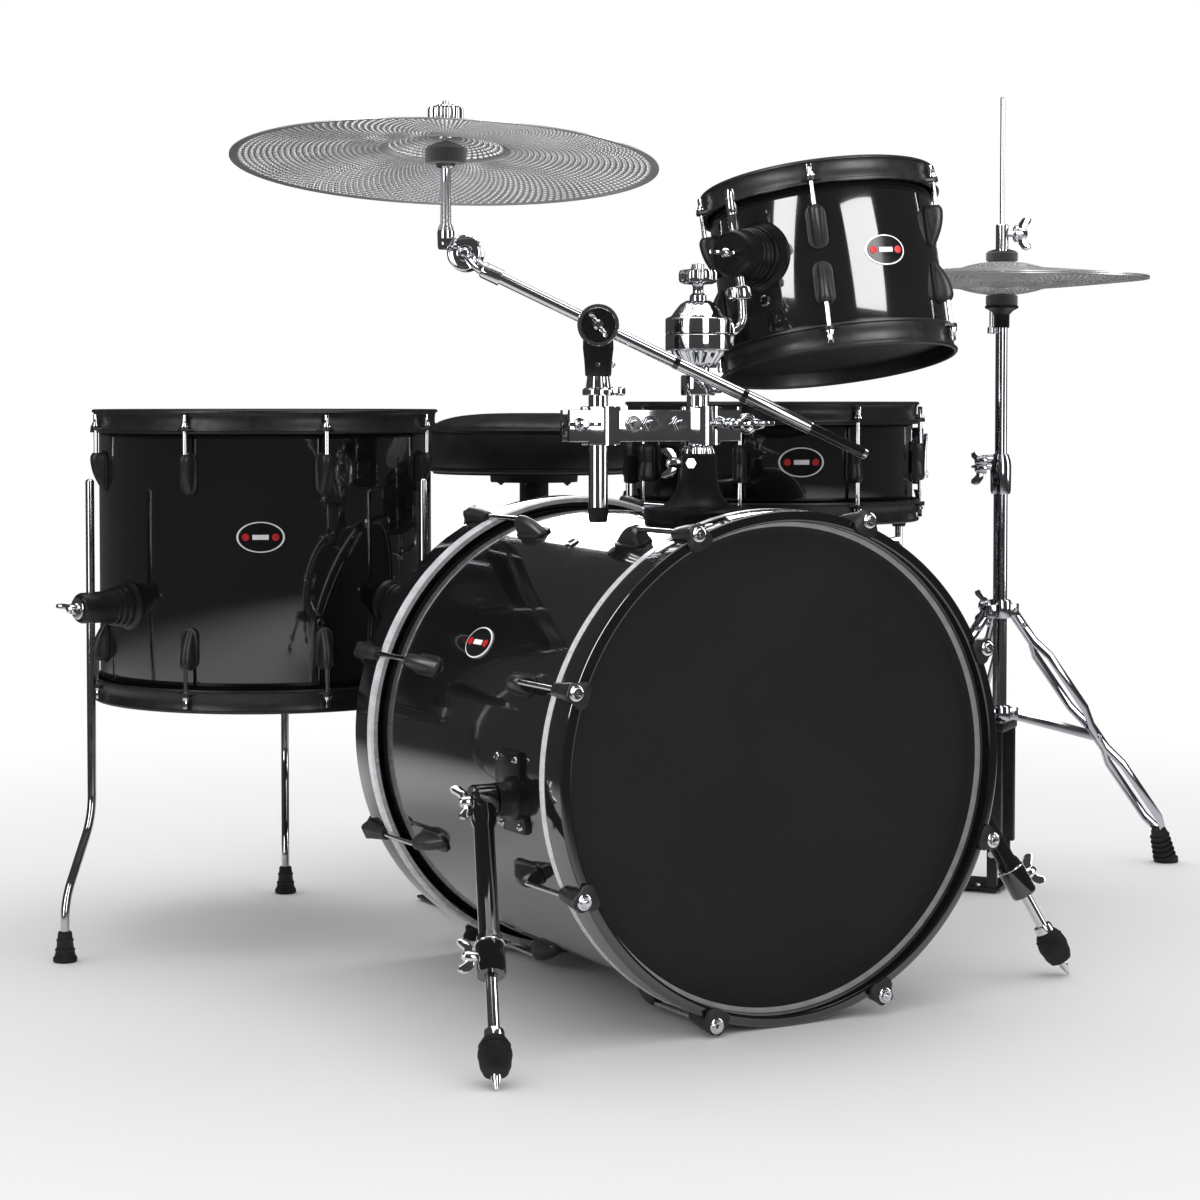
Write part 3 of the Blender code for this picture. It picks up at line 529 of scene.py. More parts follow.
def badge(place, body, name, radius, width=0.056, height=0.036):
    """A plain oval badge, curved to the shell, with a silver rim and two red studs."""
    for part, look, scale, lift in (("rim", "badge_silver", 1.0, 0.0012),
                                    ("face", "badge_black", 0.92, 0.0019)):
        shape = Shape()
        steps, rows = 48, 5
        centre = None
        rings = []
        for level in range(rows + 1):
            grow = 1 - level / rows
            if level == rows:
                centre = shape.bm.verts.new(place @ Vector((lift, 0, 0)))
                rings.append([centre])
                continue
            ring = []
            for x, z in ellipse(width * scale * grow, height * scale * grow, steps):
                sag = radius - sqrt(max(radius ** 2 - x ** 2, 0))
                ring.append(shape.bm.verts.new(place @ Vector((lift - sag, x, z))))
            rings.append(ring)
        wall = []
        for x, z in ellipse(width * scale, height * scale, steps):
            sag = radius - sqrt(max(radius ** 2 - x ** 2, 0))
            wall.append(shape.bm.verts.new(place @ Vector((-0.0004 - sag, x, z))))
        back = shape.bm.verts.new(place @ Vector((-0.0004, 0, 0)))
        shape.add_rings([[back], wall, *rings], False)
        shape.piece(f"{name}_badge_{part}", look, body, sharp=60)
    marks = Shape()
    for side in (-1, 1):
        x = side * width * 0.31
        sag = radius - sqrt(radius ** 2 - x ** 2)
        spot = place @ shift(0.0012 - sag, x, 0) @ OUTWARDS
        marks.turned(mm((0, 0), (4.6, 0), (4.2, 1.3), (0, 1.5)), spot, 24)
    marks.piece(f"{name}_badge_studs", "badge_red", body)
    bar = Shape()
    bar.block((0.0012, width * 0.34, height * 0.16), place @ shift(0.0018, 0, 0), 0.0004)
    bar.piece(f"{name}_badge_bar", "badge_silver", body)


def head_profile(radius, half):
    """Black film with its collar, dropping over the bearing edge into its hoop."""
    top = half + 0.0012
    profile = mm((0, 0), y=top) + mm((-16, 0), (-10, -0.2), (-4.5, -0.1), x=radius, y=top)
    profile += mm((0.2, -0.6), (2, -3), x=radius, y=top) + mm((2.4, -8), x=radius, y=half)
    profile += mm((4.5, -8.5), (4.5, -1.5), x=radius, y=half) + mm((3, -0.4), x=radius, y=top)
    profile += mm((1.2, 0.6), (-6, 0.6), x=radius, y=top) + mm((0, 0.6), y=top)
    return profile


def flanged_hoop(shape, radius, half, angles, place):
    """Pressed steel hoop: rolled rim, upright wall, lower flange and an ear at every rod."""
    rim = radius + 0.0056
    inner = radius + 0.0028
    profile = mm((0, 1.5), (0, 15), x=inner, y=half)
    profile += arc((inner + 0.0030, half + 0.0158), 0.0028, 180, 20, 8)
    profile += mm((5.8, 15), (4, 14.6), x=inner, y=half)
    profile += mm((2.6, 12), x=inner, y=half) + mm((-0.6, 3), (1.6, -0.4), x=rim, y=half)
    profile += mm((2.4, -6), (5, -7.2), (4.8, -9.4), x=rim, y=half)
    profile += mm((5, -9.4), (5, 0.8), x=radius, y=half)
    shape.turned(profile, place, ROUND)
    for angle in angles:
        spot = facing(place, angle, radius + 0.0098, half - 0.0050)
        ear = mm((-4.5, -12.5), (0, -9.5))
        ear += [(0.0010 + 0.0068 * cos(radians(a)), 0.0068 * sin(radians(a))) for a in range(-70, 71, 20)]
        ear += mm((0, 9.5), (-4.5, 12.5))
        shape.outline(ear, 0.0034, spot, 0.0008)
        shape.turned(mm((0, -1), (6.6, -1), (5.8, 3), (0, 3.2)), spot @ shift(0.0014, 0, 0.001), 20)


def dress_drum(prefix, radius, depth, place, angles, body):
    """Shell, lugs, hoops, rods and heads of a snare or a tom."""
    half = depth / 2
    shell = Shape()
    profile = [(radius - WALL, half - 0.004), (radius - 0.002, half - 0.0004),
               (radius - 0.0008, half - 0.0004)]
    profile += mm((0, -1.6), x=radius, y=half) + mm((0, 1.6), (-0.8, 0.4), x=radius, y=-half)
    profile += [(radius - 0.002, -half + 0.0004), (radius - WALL, -half + 0.004)]
    shell.turned(profile, place, ROUND)
    shell.piece(f"{prefix}_shell_skin", "lacquer", body, [f"{prefix}_shell"])
    horns = Shape()
    rods = Shape()
    for end, name in ((1, "batter"), (-1, "bottom")):
        turn = place if end > 0 else place @ FLIPPED
        spots = angles if end > 0 else [-angle for angle in angles]
        hoop = Shape()
        flanged_hoop(hoop, radius, half, spots, turn)
        hoop.piece(f"{prefix}_{name}_hoop_skin", "satin", body, [f"{prefix}_{name}_hoop"])
        Shape().turned(head_profile(radius, half), turn, ROUND).piece(f"{prefix}_{name}_head_skin", "film",
                                                                      body, [f"{prefix}_{name}_head"])
        for angle in spots:
            lug(horns, facing(turn, angle, radius, half - 0.0560))
            rod_and_washer(rods, facing(turn, angle, radius + 0.0113, half), 0.0085, -0.040)
    horns.piece(f"{prefix}_lugs", "satin", body)
    rods.piece(f"{prefix}_tension_rods", "chrome", body)


KIT_LEFT = Vector((-0.8763, 0.4818, 0))
KIT_FRONT = Vector((-0.4818, -0.8763, 0))  # level, towards the camera

POST = Vector((0, 0.186, 0))
KIT = Vector(JOINTS["clamp_turn"]["pos_m"]) - POST
KIT.z = 0
WALL = 0.007

BASS_R = 0.254
BASS_HALF = 0.2285
BASS_HOOP_R = 0.267
BASS_TOP = BASS_HALF + 0.024
BASS_CENTRE = Vector((0, 0.2525, 0.267))
BASS_LUGS = [radians(115 + 45 * k) for k in range(8)]

SPUR_PIVOTS = {"left": Vector((-0.294, 0.12, 0.24)), "right": Vector((0.294, 0.12, 0.24))}
SPUR_TIPS = {"left": Vector((-0.3825, -0.087, 0)), "right": Vector((0.411, 0.057, 0))}

BALL = Vector((0, 0.186, 0.722))
BOOM_POST = Vector((-0.112, 0.207, 0))
BOOM_PIVOT = Vector((-0.112, 0.207, 0.7265))
BOOM_DIRECTION = KIT_LEFT
BOOM_SLOPE = radians(25.7)
BOOM_AXIS = (BOOM_DIRECTION * cos(BOOM_SLOPE) + Z_AXIS * sin(BOOM_SLOPE)).normalized()
ACROSS = Vector((BOOM_DIRECTION.y, -BOOM_DIRECTION.x, 0))
BOOM_LINE = BOOM_PIVOT - ACROSS * 0.0262
BOOM_FAR = BOOM_LINE + BOOM_AXIS * 0.1345
EYE = BOOM_FAR + BOOM_DIRECTION * 0.020 + upward(0.018) + ACROSS * 0.014
CRASH_PIVOT = Vector((-0.255, 0.285, 0.926))
CRASH_R = 0.2286
CRASH_LEAN = Euler((radians(-5.1), radians(4.4), 0))

TOM_PLACE = (moved((0.2145, 0.255, 0.789)) @ Matrix.Rotation(radians(-10.8), 4, "X") @
             Matrix.Rotation(radians(-1.5), 4, "Y"))
TOM_R, TOM_DEPTH = 0.127, 0.176
TOM_LUGS = [radians(233 + 72 * k) for k in range(5)]
TOM_ROD_RADIUS = 0.164
TOM_ROD_ANGLE = radians(199.6)

SNARE_CENTRE = Vector((0.337, 0.565, 0.570))
SNARE_R, SNARE_DEPTH = 0.1778, 0.113
SNARE_LUGS = [radians(225.7 + 45 * k) for k in range(8)]
SNARE_STRAINER = radians(338.9)
SNARE_BADGE = radians(249)

FLOOR_CENTRE = Vector((-0.26, 0.789, 0.4587))
FLOOR_R, FLOOR_DEPTH = 0.2032, 0.317
FLOOR_LEG_RADIUS, FLOOR_LEG_OFFSET = 0.256, 0.07  # of the upright part, and from it to the foot
FLOOR_LUGS = [radians(222.2 + 45 * k) for k in range(8)]
FLOOR_LEGS = ((195, 225), (294, 5), (63, 247.8))  # degrees: bracket, then the way its foot bends

HAT = Vector((0.666, 0.521, 0))
HAT_LEGS = (9.4, 66, 186)  # degrees
HAT_FOOT_RADIUS = 0.339
HAT_R = 0.1905
HAT_HEIGHT = 0.0205
HAT_EDGE = 0.806
HAT_OPEN = 0.001
HAT_TUBE = 0.0092
HAT_UPPER = 0.0078
HAT_PEDAL_ANGLE = radians(128)
HAT_PEDAL = moved(HAT) @ turn_z(HAT_PEDAL_ANGLE)  # +X from the rod towards the heel
THRONE = Vector((0.21, 0.975, 0))
KICK_AXLE = Vector((0, 0.560, 0.205))
KICK_HEEL_Y = 0.800
BEATER_LEAN = radians(42)
CYMBAL_SHEET = 0.0013
HOLE_CORNER, HOLE_SIDE = 0.66, 0.88  # how far a hole reaches towards its cell's corners and sides


# Bass drum


def bass_frame():
    """+Z towards the front, +Y up."""
    return moved(BASS_CENTRE) @ UPRIGHT


def bass_hoop(name, turn):
    hoop = Shape()
    inner, outer = BASS_R + 0.0052, BASS_HOOP_R
    profile = [(inner, BASS_TOP - 0.049)]
    profile += arc((outer - 0.003, BASS_TOP - 0.046), 0.003, -90, 0, 5)
    profile += arc((outer - 0.004, BASS_TOP - 0.004), 0.004, 0, 90, 6)
    profile += arc((BASS_R + 0.0040, BASS_TOP - 0.003), 0.003, 90, 180, 5)
    profile += [(BASS_R + 0.0010, BASS_HALF + 0.0085), (inner, BASS_HALF + 0.0085)]
    hoop.turned(profile, turn, 192)
    hoop.piece(f"bass_{name}_hoop_skin", "hoop", "kit", [f"bass_{name}_hoop"])
    inlay = Shape()
    band = mm((1, -49.4), x=inner, y=BASS_TOP) + mm((-2, -49.4), (0.3, -47), x=outer, y=BASS_TOP)
    band += mm((0.3, -36.5), (-1, -36.5), x=outer, y=BASS_TOP) + mm((1, -48), x=inner, y=BASS_TOP)
    inlay.turned(band, turn, 192)
    inlay.piece(f"bass_{name}_hoop_inlay", "inlay", "kit")


def bass_skin(name, turn):
    low = BASS_HALF + 0.0003
    skin = Shape()
    profile = [(0, low), (BASS_R, low), (BASS_R + 0.0012, low - 0.002),
               (BASS_R + 0.0012, BASS_HALF - 0.010)]
    profile += [(BASS_R + 0.0046, BASS_HALF - 0.010), (BASS_R + 0.0046, low + 0.006)]
    profile += mm((2, 6.8), (-4, 3), (-8, 1.2), x=BASS_R, y=low)
    profile += [(BASS_R - 0.012, low + 0.0008), (0, low + 0.0008)]
    skin.turned(profile, turn, 160)
    look = "front_film" if name == "front" else "film"
    skin.piece(f"bass_{name}_head_skin", look, "kit", [f"bass_{name}_head"])
    # A light grey band where the head's collar curves over the bearing edge: a painted highlight, not a
    # ring that the head has.
    ring = Shape()
    band = mm((-3.5, 3), (-1, 5.2), (0.6, 7.2), x=BASS_R, y=low)
    band += mm((-1.4, 6.6), (-4.2, 4.2), x=BASS_R, y=low)
    ring.turned(band, turn, 160)
    ring.piece(f"bass_{name}_collar_ring", "ring", "kit")


def claw(grip, chrome_parts, spot):
    """One claw over the hoop's edge. At spot, +X points outwards and +Z out of the drum's end."""
    nose = mm((254.5, -7.5), (256, -11.5), (260, -14.2), (265, -13.6), (270, -10.4))
    nose += mm((277, -9.2), (280, -7))
    nose += [(x, -y) for x, y in reversed(nose)]
    grip.outline(nose, 0.0060, spot @ shift(0, 0, 0.0038), 0.0016)
    sections = []
    for i in range(10):
        t = i / 9
        outer = 0.2808 - 0.0055 * t ** 1.5
        half = 0.0102 - 0.0030 * t
        section = []
        for k in range(15):
            turn = -pi / 2 + pi * k / 14
            swell = abs(cos(turn)) ** 0.55
            section.append(spot @ Vector((0.2674 + (outer - 0.2674) * swell, half * sin(turn),
                                          0.003 - 0.041 * t)))
        sections.append(section)
    grip.loft(sections)
    hole = spot @ shift(BASS_HOOP_R + 0.0040, 0, 0.0068)
    chrome_parts.turned(mm((0, 0), (8, 0), (8, 1), (7.2, 1.6), (0, 1.6)), hole, 28)
    chrome_parts.bolt(hole @ shift(0, 0, 0.0014), 0.0060, 0.0034)
    shaft = mm((0, -116), (2.8, -116), (2.8, -2), (0, -2))
    chrome_parts.turned(shaft, spot @ shift(BASS_HOOP_R + 0.0040, 0, 0), 16)


def bass_drum():
    place = bass_frame()
    flip = place @ FLIPPED
    shell = Shape()
    profile = [(BASS_R - WALL, BASS_HALF - 0.004), (BASS_R - 0.002, BASS_HALF), (BASS_R, BASS_HALF - 0.002)]
    profile += [(r, -z) for r, z in reversed(profile)]
    shell.turned(profile, place, 192)
    shell.piece("bass_shell_skin", "lacquer", "kit", ["bass_drum_shell"])
    horns, grips, bright = Shape(), Shape(), Shape()
    for name, turn, mirror in (("front", place, 1), ("batter", flip, -1)):
        bass_hoop(name, turn)
        bass_skin(name, turn)
        for angle in BASS_LUGS:
            claw(grips, bright, facing(turn, angle * mirror, 0, BASS_TOP))
            lug(horns, facing(turn, angle * mirror, BASS_R, BASS_HALF - 0.115), 0.052, 0.0215, 0.023)
    horns.piece("bass_lugs", "satin", "kit")
    grips.piece("bass_claws", "satin", "kit")
    bright.piece("bass_key_rods", "chrome", "kit")
    side = place @ turn_z(radians(152)) @ shift(BASS_R, 0, -0.015)
    badge(side @ UPRIGHT, "kit", "bass", 4.0)
    Shape().turned(mm((3.5, 0), (7.5, 0), (8, 1.8), (6, 3), (3.5, 2.4)), place @ turn_z(radians(118)) @
                   shift(BASS_R, 0, 0) @ OUTWARDS, 32).piece("bass_air_vent", "chrome", "kit")
    spur_brackets()


def spur_brackets():
    plates, bright = Shape(), Shape()
    for side in (-1, 1):
        sections = []
        for i in range(13):
            z = 0.2025 + 0.085 * i / 12
            reach = sqrt(BASS_R ** 2 - (z - BASS_CENTRE.z) ** 2)
            wide = 0.0275 - 0.004 * (abs(i - 6) == 6)
            corners = mm((-2, 0), (4, 0), (5.5, 2), x=reach, y=-wide) + mm((5.5, -2), (4, 0), (-2, 0),
                                                                           x=reach, y=wide)
            sections.append([Vector((side * x, 0.135 + y, z)) for x, y in corners])
        plates.loft(sections)
        for y in (0.1145, 0.1555):
            for z in (0.2105, 0.2795):
                reach = sqrt(BASS_R ** 2 - (z - BASS_CENTRE.z) ** 2) + 0.0052
                bright.bolt(between((side * reach, y, z), (side * (reach + 0.1), y, z)), 0.0042, 0.0026)
        housing = mm((0, 244), (22.5, 244), (22.5, 262.5), (19, 264.5), (17.5, 268))
        housing += mm((17.5, 280), (16.5, 281.2), (0, 281.2))
        plates.turned(housing, between((0, 0.12, 0.24), (side, 0.12, 0.24)), 48)
    plates.piece("spur_brackets", "black", "kit")
    bright.piece("spur_bracket_screws", "chrome", "kit")


def spurs():
    for name, pivot in SPUR_PIVOTS.items():
        tip = SPUR_TIPS[name]
        out = Vector((1 if pivot.x > 0 else -1, 0, 0))
        along = (tip - pivot).normalized()
        length = (tip - pivot).length
        mouth = length * 0.62
        place = between(pivot, tip)
        tube = Shape()
        tube.turned(mm((0, 0), (15.5, 0), (17, 1.5), (17, 22.5), (15.5, 24), (0, 24)),
                    between(pivot - out * 0.012, pivot + out), 48)
        barrel = mm((0, 4), (13.8, 4), (13, 26), (10.5, 34)) + mm((10.5, -46), y=mouth)
        barrel += mm((12.8, -42), (15, -30), (15, -3), y=mouth)
        barrel += mm((13.8, 0), (6.6, 0), (6.6, -115), (0, -115), y=mouth)
        tube.turned(barrel, place, 40)
        tube.piece(f"{name}_spur_barrel", "gloss", f"{name}_spur", [f"spur_tube_{name}"])
        bright = Shape()
        bright.wing(axes(pivot + out * 0.0115, along, out), 0.040, 0.0056)
        collar = pivot + along * (mouth - 0.017)
        side = out - along * out.dot(along)
        bright.wing(axes(collar + side.normalized() * 0.0140, along, side), 0.038, 0.0054)
        bright.ring(place @ shift(0, 0, mouth - 0.034), 0.0146, 0.0010, 40, 8)
        bright.piece(f"{name}_spur_screws", "chrome", f"{name}_spur")
        shaft = Shape()
        shaft.turned(mm((0, -75), (6, -75), y=mouth) + mm((6, -58), (0, -58), y=length), place, 32)
        shaft.turned(mm((0, -64), (9.8, -64), (10.4, -61), (10.4, -55), (0, -55), y=length), place, 32)
        shaft.turned(mm((0, -24), (5.2, -24), (5, -12), (1.6, -2), (0, 0), y=length), place, 24)
        shaft.piece(f"{name}_spur_shaft", "chrome", f"{name}_spur_rod", [f"spur_rod_{name}"])
        bulb = Shape()
        bulb.turned(mm((0, -56), (11, -56), (13.5, -52), (16.2, -43), (16.8, -38), (15.8, -33), (15, -26),
                       (12, -19), (6, -16.5), (0, -16.5), y=length), place, 40)
        bulb.ring(place @ shift(0, 0, length - 0.048), 0.0148, 0.0010, 40, 8)
        bulb.piece(f"{name}_spur_tip", "rubber", f"{name}_spur_rod")


# Tom holder, clamp and boom


def mount_base():
    bell = Shape()
    seat = BASS_CENTRE.z + BASS_R
    low = mm((13.1, 0), (58, 0), (60, 6), y=seat)
    sweep = []
    for i in range(14):
        t = i / 13
        sweep.append((0.058 - 0.0365 * sin(t * pi / 2) ** 0.8, seat + 0.008 +
                      0.038 * (1 - cos(t * pi / 2)) ** 1.1))
    high = mm((20.8, 52), (20.8, 66.5), (19.6, 68), (13.1, 68), y=seat)
    bell.turned(low + sweep + high, moved(POST), 72)
    for vert in bell.bm.verts:
        if vert.co.z < seat + 0.0065:
            drop = seat - (BASS_CENTRE.z + sqrt(BASS_R ** 2 - vert.co.x ** 2))
            vert.co.z -= drop
    bell.piece("mount_bell", "black", "kit", ["tom_mount_base"])
    bright = Shape()
    front = Vector((cos(radians(222)), sin(radians(222)), 0))
    left = Vector((cos(radians(158)), sin(radians(158)), 0))
    at = POST + upward(seat + 0.058)
    bright.hexagon(between(at + front * 0.0200, at + front), 0.0062, 0.0050)
    bright.wing(axes(at + left * 0.0200, Z_AXIS, left), 0.034, 0.0052)
    bright.turned(mm((13.1, 0), (19, 0), (18.4, 4), (16, 8.5), (13.1, 8.5)),
                  moved(POST + upward(seat + 0.0682)), 96, (12, 0.10))
    bright.piece("mount_fittings", "chrome", "kit")


def holder_post():
    at = moved(POST)
    post = Shape()
    post.turned(mm((0, 500), (12.3, 500), (12.3, 684), (0, 684)), at, 48)
    post.turned(mm((11.5, 652), (17.8, 652), (18.6, 654), (18.6, 672), (17.8, 674), (11.5, 674)), at, 48)
    lock = axes(POST + Vector((0.012, -0.016, 0.663)), Z_AXIS, (0.55, -0.83, 0))
    post.block((0.017, 0.010, 0.013), lock, 0.0016)
    post.hexagon(lock @ shift(0, 0, 0.006), 0.0050, 0.0045)
    post.turned(mm((10, 682), (20.5, 682), (21.5, 688), (29, 697.5), (30, 700.5), (10, 700.5)), at, 96,
                (12, 0.07))
    lower = mm((10, 700.5), (33, 700.5)) + arc((0.0332, 0.7025), 0.0022, -60, 0, 3) + [(0.0354, 0.7172)]
    lower += mm((34.6, 718.2), (10, 718.2))
    post.turned(lower, at, 96)
    upper = mm((10, 718.6), (34.6, 718.6), (35.4, 719.6)) + arc((0.0332, 0.7338), 0.0022, 0, 60, 3)
    upper += mm((29, 738), (24, 745), (19, 751), (13, 754.5), (10, 754.5))
    post.turned(upper, at, 96)
    post.turned(mm((0, 754), (9.5, 754), (9, 760), (5.8, 763), (5.8, 770), (7.8, 773), (0, 773)), at, 32)
    post.turned(mm((0, 772.5), (15, 772.5), (20, 774.5), (21, 777.5), (21, 784.5), (19.5, 787.5),
                   (14, 788.5), (8, 789), (7, 794), (0, 794.8)), at, 96, (6, 0.20))
    post.turned(mm((9.8, -37), (16, -37), (17, -34.5), (17, -32.5), (9.8, -32.5)),
                between(BALL, BALL - Vector((1, 0, 0))), 40)
    post.piece("holder_post_body", "chrome", "holder_post", ["tom_holder_post"])
    Shape().turned(mm((34, 718), (34.9, 718), (34.9, 718.8), (34, 718.8)), at, 96).piece("holder_seam",
                                                                                         "pressed",
                                                                                         "holder_post")


def clamp():
    """The multi-clamp: two plates squeezed on both tubes by bolts."""
    direction = (BOOM_POST - POST).normalized()
    side = Z_AXIS.cross(direction)
    middle = (POST + BOOM_POST) / 2 - direction * 0.003 + upward(0.6195)
    place = axes(middle, direction, Z_AXIS)
    bars = Shape()
    for face in (-1, 1):
        bars.block((0.196, 0.0075, 0.034), place @ shift(0, face * 0.0125, 0), 0.0016)
        for x in (-0.0565, 0.0575):
            bars.block((0.036, 0.0060, 0.0415), place @ shift(x, face * 0.0135, 0), 0.0025)
    bars.block((0.030, 0.018, 0.026), place, 0.002)
    for x, reach in ((-0.0600, 0.0131), (0.0540, 0.0111)):
        bars.turned(mm((0, -20.8), (6.2, -20.8), (6.2, 20.8), (0, 20.8), x=reach), place @ shift(x, 0, 0),
                    48)
    bars.piece("multi_clamp_bars", "chrome", "clamp", ["multi_clamp"])
    bolts = Shape()
    front = 1 if side.dot(KIT_FRONT) > 0 else -1
    for x, kind in ((0.086, "wing"), (0.026, "nut"), (0.008, "nut"), (-0.026, "nut"), (-0.088, "wing")):
        for face in (-1, 1):
            head = axes(place @ Vector((x, face * 0.0160, 0.002)), direction, side * face)
            if face == front and kind == "wing":
                bolts.turned(mm((0, 0), (7.2, 0), (7.2, 6), (5, 10), (5, 14), (0, 14)), head, 24)
                bolts.wing(head @ shift(0, 0, 0.008), 0.034, 0.0058)
            elif face == front:
                bolts.turned(mm((0, 0), (9, 0), (9, 2.2), (0, 2.2)), head, 28)
                bolts.hexagon(head @ shift(0, 0, 0.0020), 0.0074, 0.0075)
                bolts.turned(mm((0, 9), (4.5, 9), (4, 14.5), (0, 14.5)), head, 20)
            else:
                bolts.turned(mm((0, 0), (7, 0), (6.2, 4), (0, 4.4)), head, 24)
    eye = place @ Vector((-0.101, 0, 0.002))
    bolts.ring(axes(eye - direction * 0.010, Z_AXIS, side), 0.0085, 0.0034, 32, 12)
    bolts.wing(axes(eye - direction * 0.016, side, -direction), 0.036, 0.0060)
    bolts.piece("multi_clamp_bolts", "chrome", "clamp")


def boom_post():
    at = moved(BOOM_POST)
    post = Shape()
    post.turned(mm((7, 528), (10.4, 528), (10.4, 668), (7, 668)), at, 48)
    post.turned(mm((10, 652), (16, 652), (17, 653), (17, 658), (15, 660), (10, 660)), at, 48)
    lock = axes(BOOM_POST + Vector((0.015, -0.012, 0.6565)), Z_AXIS, (0.6, -0.8, 0))
    post.block((0.009, 0.010, 0.011), lock, 0.0015)
    post.hexagon(lock @ shift(0, 0, 0.005), 0.0048, 0.0045)
    post.turned(mm((0, 658), (12.2, 658), (13.5, 660), (12, 672), (12, 696), (0, 696)), at, 72, (9, 0.06))
    post.piece("boom_post_tube", "chrome", "boom_post", ["boom_post"])
    Shape().turned(mm((0, 516), (9, 516), (10, 518), (11.2, 527.5), (11.2, 532), (0, 532)), at,
                   40).piece("boom_post_cap", "rubber", "boom_post")


def boom_tilter():
    fork = Shape()
    sections = []
    for z, wide, deep in ((0.6725, 0.0130, 0.0130), (0.674, 0.0140, 0.0140), (0.690, 0.0150, 0.0150),
                          (0.7025, 0.0165, 0.0158), (0.7180, 0.0160, 0.0155)):
        section = []
        for k in range(24):
            turn = 2 * pi * k / 24
            c, s = cos(turn), sin(turn)
            x = wide * copysign(abs(c) ** 0.45, c)
            y = deep * copysign(abs(s) ** 0.45, s)
            section.append(BOOM_POST + BOOM_DIRECTION * x + ACROSS * y + upward(z))
        sections.append(section)
    fork.loft(sections)
    fork.turned(mm((0, -15.8), (20, -15.8), (21.5, -14), (21.5, 12.5), (18.5, 15), (0, 16)),
                axes(BOOM_PIVOT, Z_AXIS, ACROSS), 56)
    fork.piece("boom_fork", "black", "boom_tilter", ["boom_tilter_base"])
    screw = Shape()
    low = BOOM_POST + upward(0.6850) - ACROSS * 0.0145
    screw.bolt(axes(low, Z_AXIS, -ACROSS), 0.0034, 0.0022)
    screw.bolt(axes(low + ACROSS * 0.0145 - BOOM_DIRECTION * 0.0150, Z_AXIS, -BOOM_DIRECTION), 0.0034,
               0.0022)
    screw.piece("boom_fork_screws", "chrome", "boom_tilter")

    jaw_frame = axes(BOOM_PIVOT, Z_AXIS, -ACROSS)
    Shape().turned(mm((0, 16.3), (20.5, 16.3), (21.2, 18), (21.2, 33), (19.5, 34.5), (0, 34.5)), jaw_frame,
                   56).piece("boom_jaw_body", "black", "boom_jaw", ["boom_tilter_jaw"])
    rim = Shape()
    rim.turned(mm((17.2, 33.5), (21.6, 33.5), (22.2, 35), (21.6, 36.6), (18.4, 37), (17.2, 35.8)),
               jaw_frame, 64)
    rim.turned(mm((20.8, 16.2), (22.2, 16.6), (22.2, 19.6), (20.8, 20)), jaw_frame, 64)
    rim.wing(jaw_frame @ turn_z(radians(35)) @ shift(0, 0, 0.0342), 0.032, 0.0062)
    rim.piece("boom_jaw_ring", "chrome", "boom_jaw")


def boom_rod():
    arm = Shape()
    line = between(BOOM_LINE, BOOM_LINE + BOOM_AXIS)
    arm.turned(mm((0, 134.5), (6.4, 134.5), (6.5, -90), (0, -90)), line, 40)
    arm.turned(mm((0, -95), (6.8, -95), (6.8, -170), (0, -170)), line, 40)
    arm.turned(mm((0, -175), (7.3, -175), (7.4, -176.5), (7.4, -249.5), (6.8, -251), (0, -251)), line, 40)
    arm.turned(mm((0, -313), (6, -313), (5.2, -316.5), (2.6, -318), (0, -318)), line, 32)
    arm.piece("boom_rod", "chrome", "boom", ["boom_arm"])
    dark = Shape()
    dark.turned(mm((0, -89.5), (7, -89.5), (7, -95.5), (0, -95.5)), line, 36)
    dark.turned(mm((0, -169.5), (7.5, -169.5), (7.5, -175.5), (0, -175.5)), line, 36)
    dark.turned(mm((0, -250.5), (5.9, -250.5), (5.9, -313.5), (0, -313.5)), line, 36)
    dark.piece("boom_rod_bands", "hoop", "boom")

    eye = Shape()
    front = axes(EYE, Z_AXIS, -ACROSS)
    eye.turned(mm((0, 0.3), (18, 0.3), (19.4, 1.6), (19.4, 10.5), (18, 12), (16, 10.5), (9, 10.5),
                  (8, 12.5), (0, 12.5)), front, 48)
    eye.pipe([BOOM_FAR - BOOM_AXIS * 0.018, BOOM_FAR + BOOM_AXIS * 0.006, EYE - ACROSS * 0.0065], 0.0066,
             24, 0.012)
    eye.turned(mm((0, 0), (8.8, 0), (8.8, 20), (7.8, 22), (0, 22)),
               between(BOOM_FAR - BOOM_AXIS * 0.020, BOOM_FAR), 32)
    eye.wing(front @ turn_z(radians(60)) @ shift(0, 0, 0.0115), 0.030, 0.0056)
    eye.piece("boom_eye", "chrome", "boom", ["cymbal_tilter_eye"])


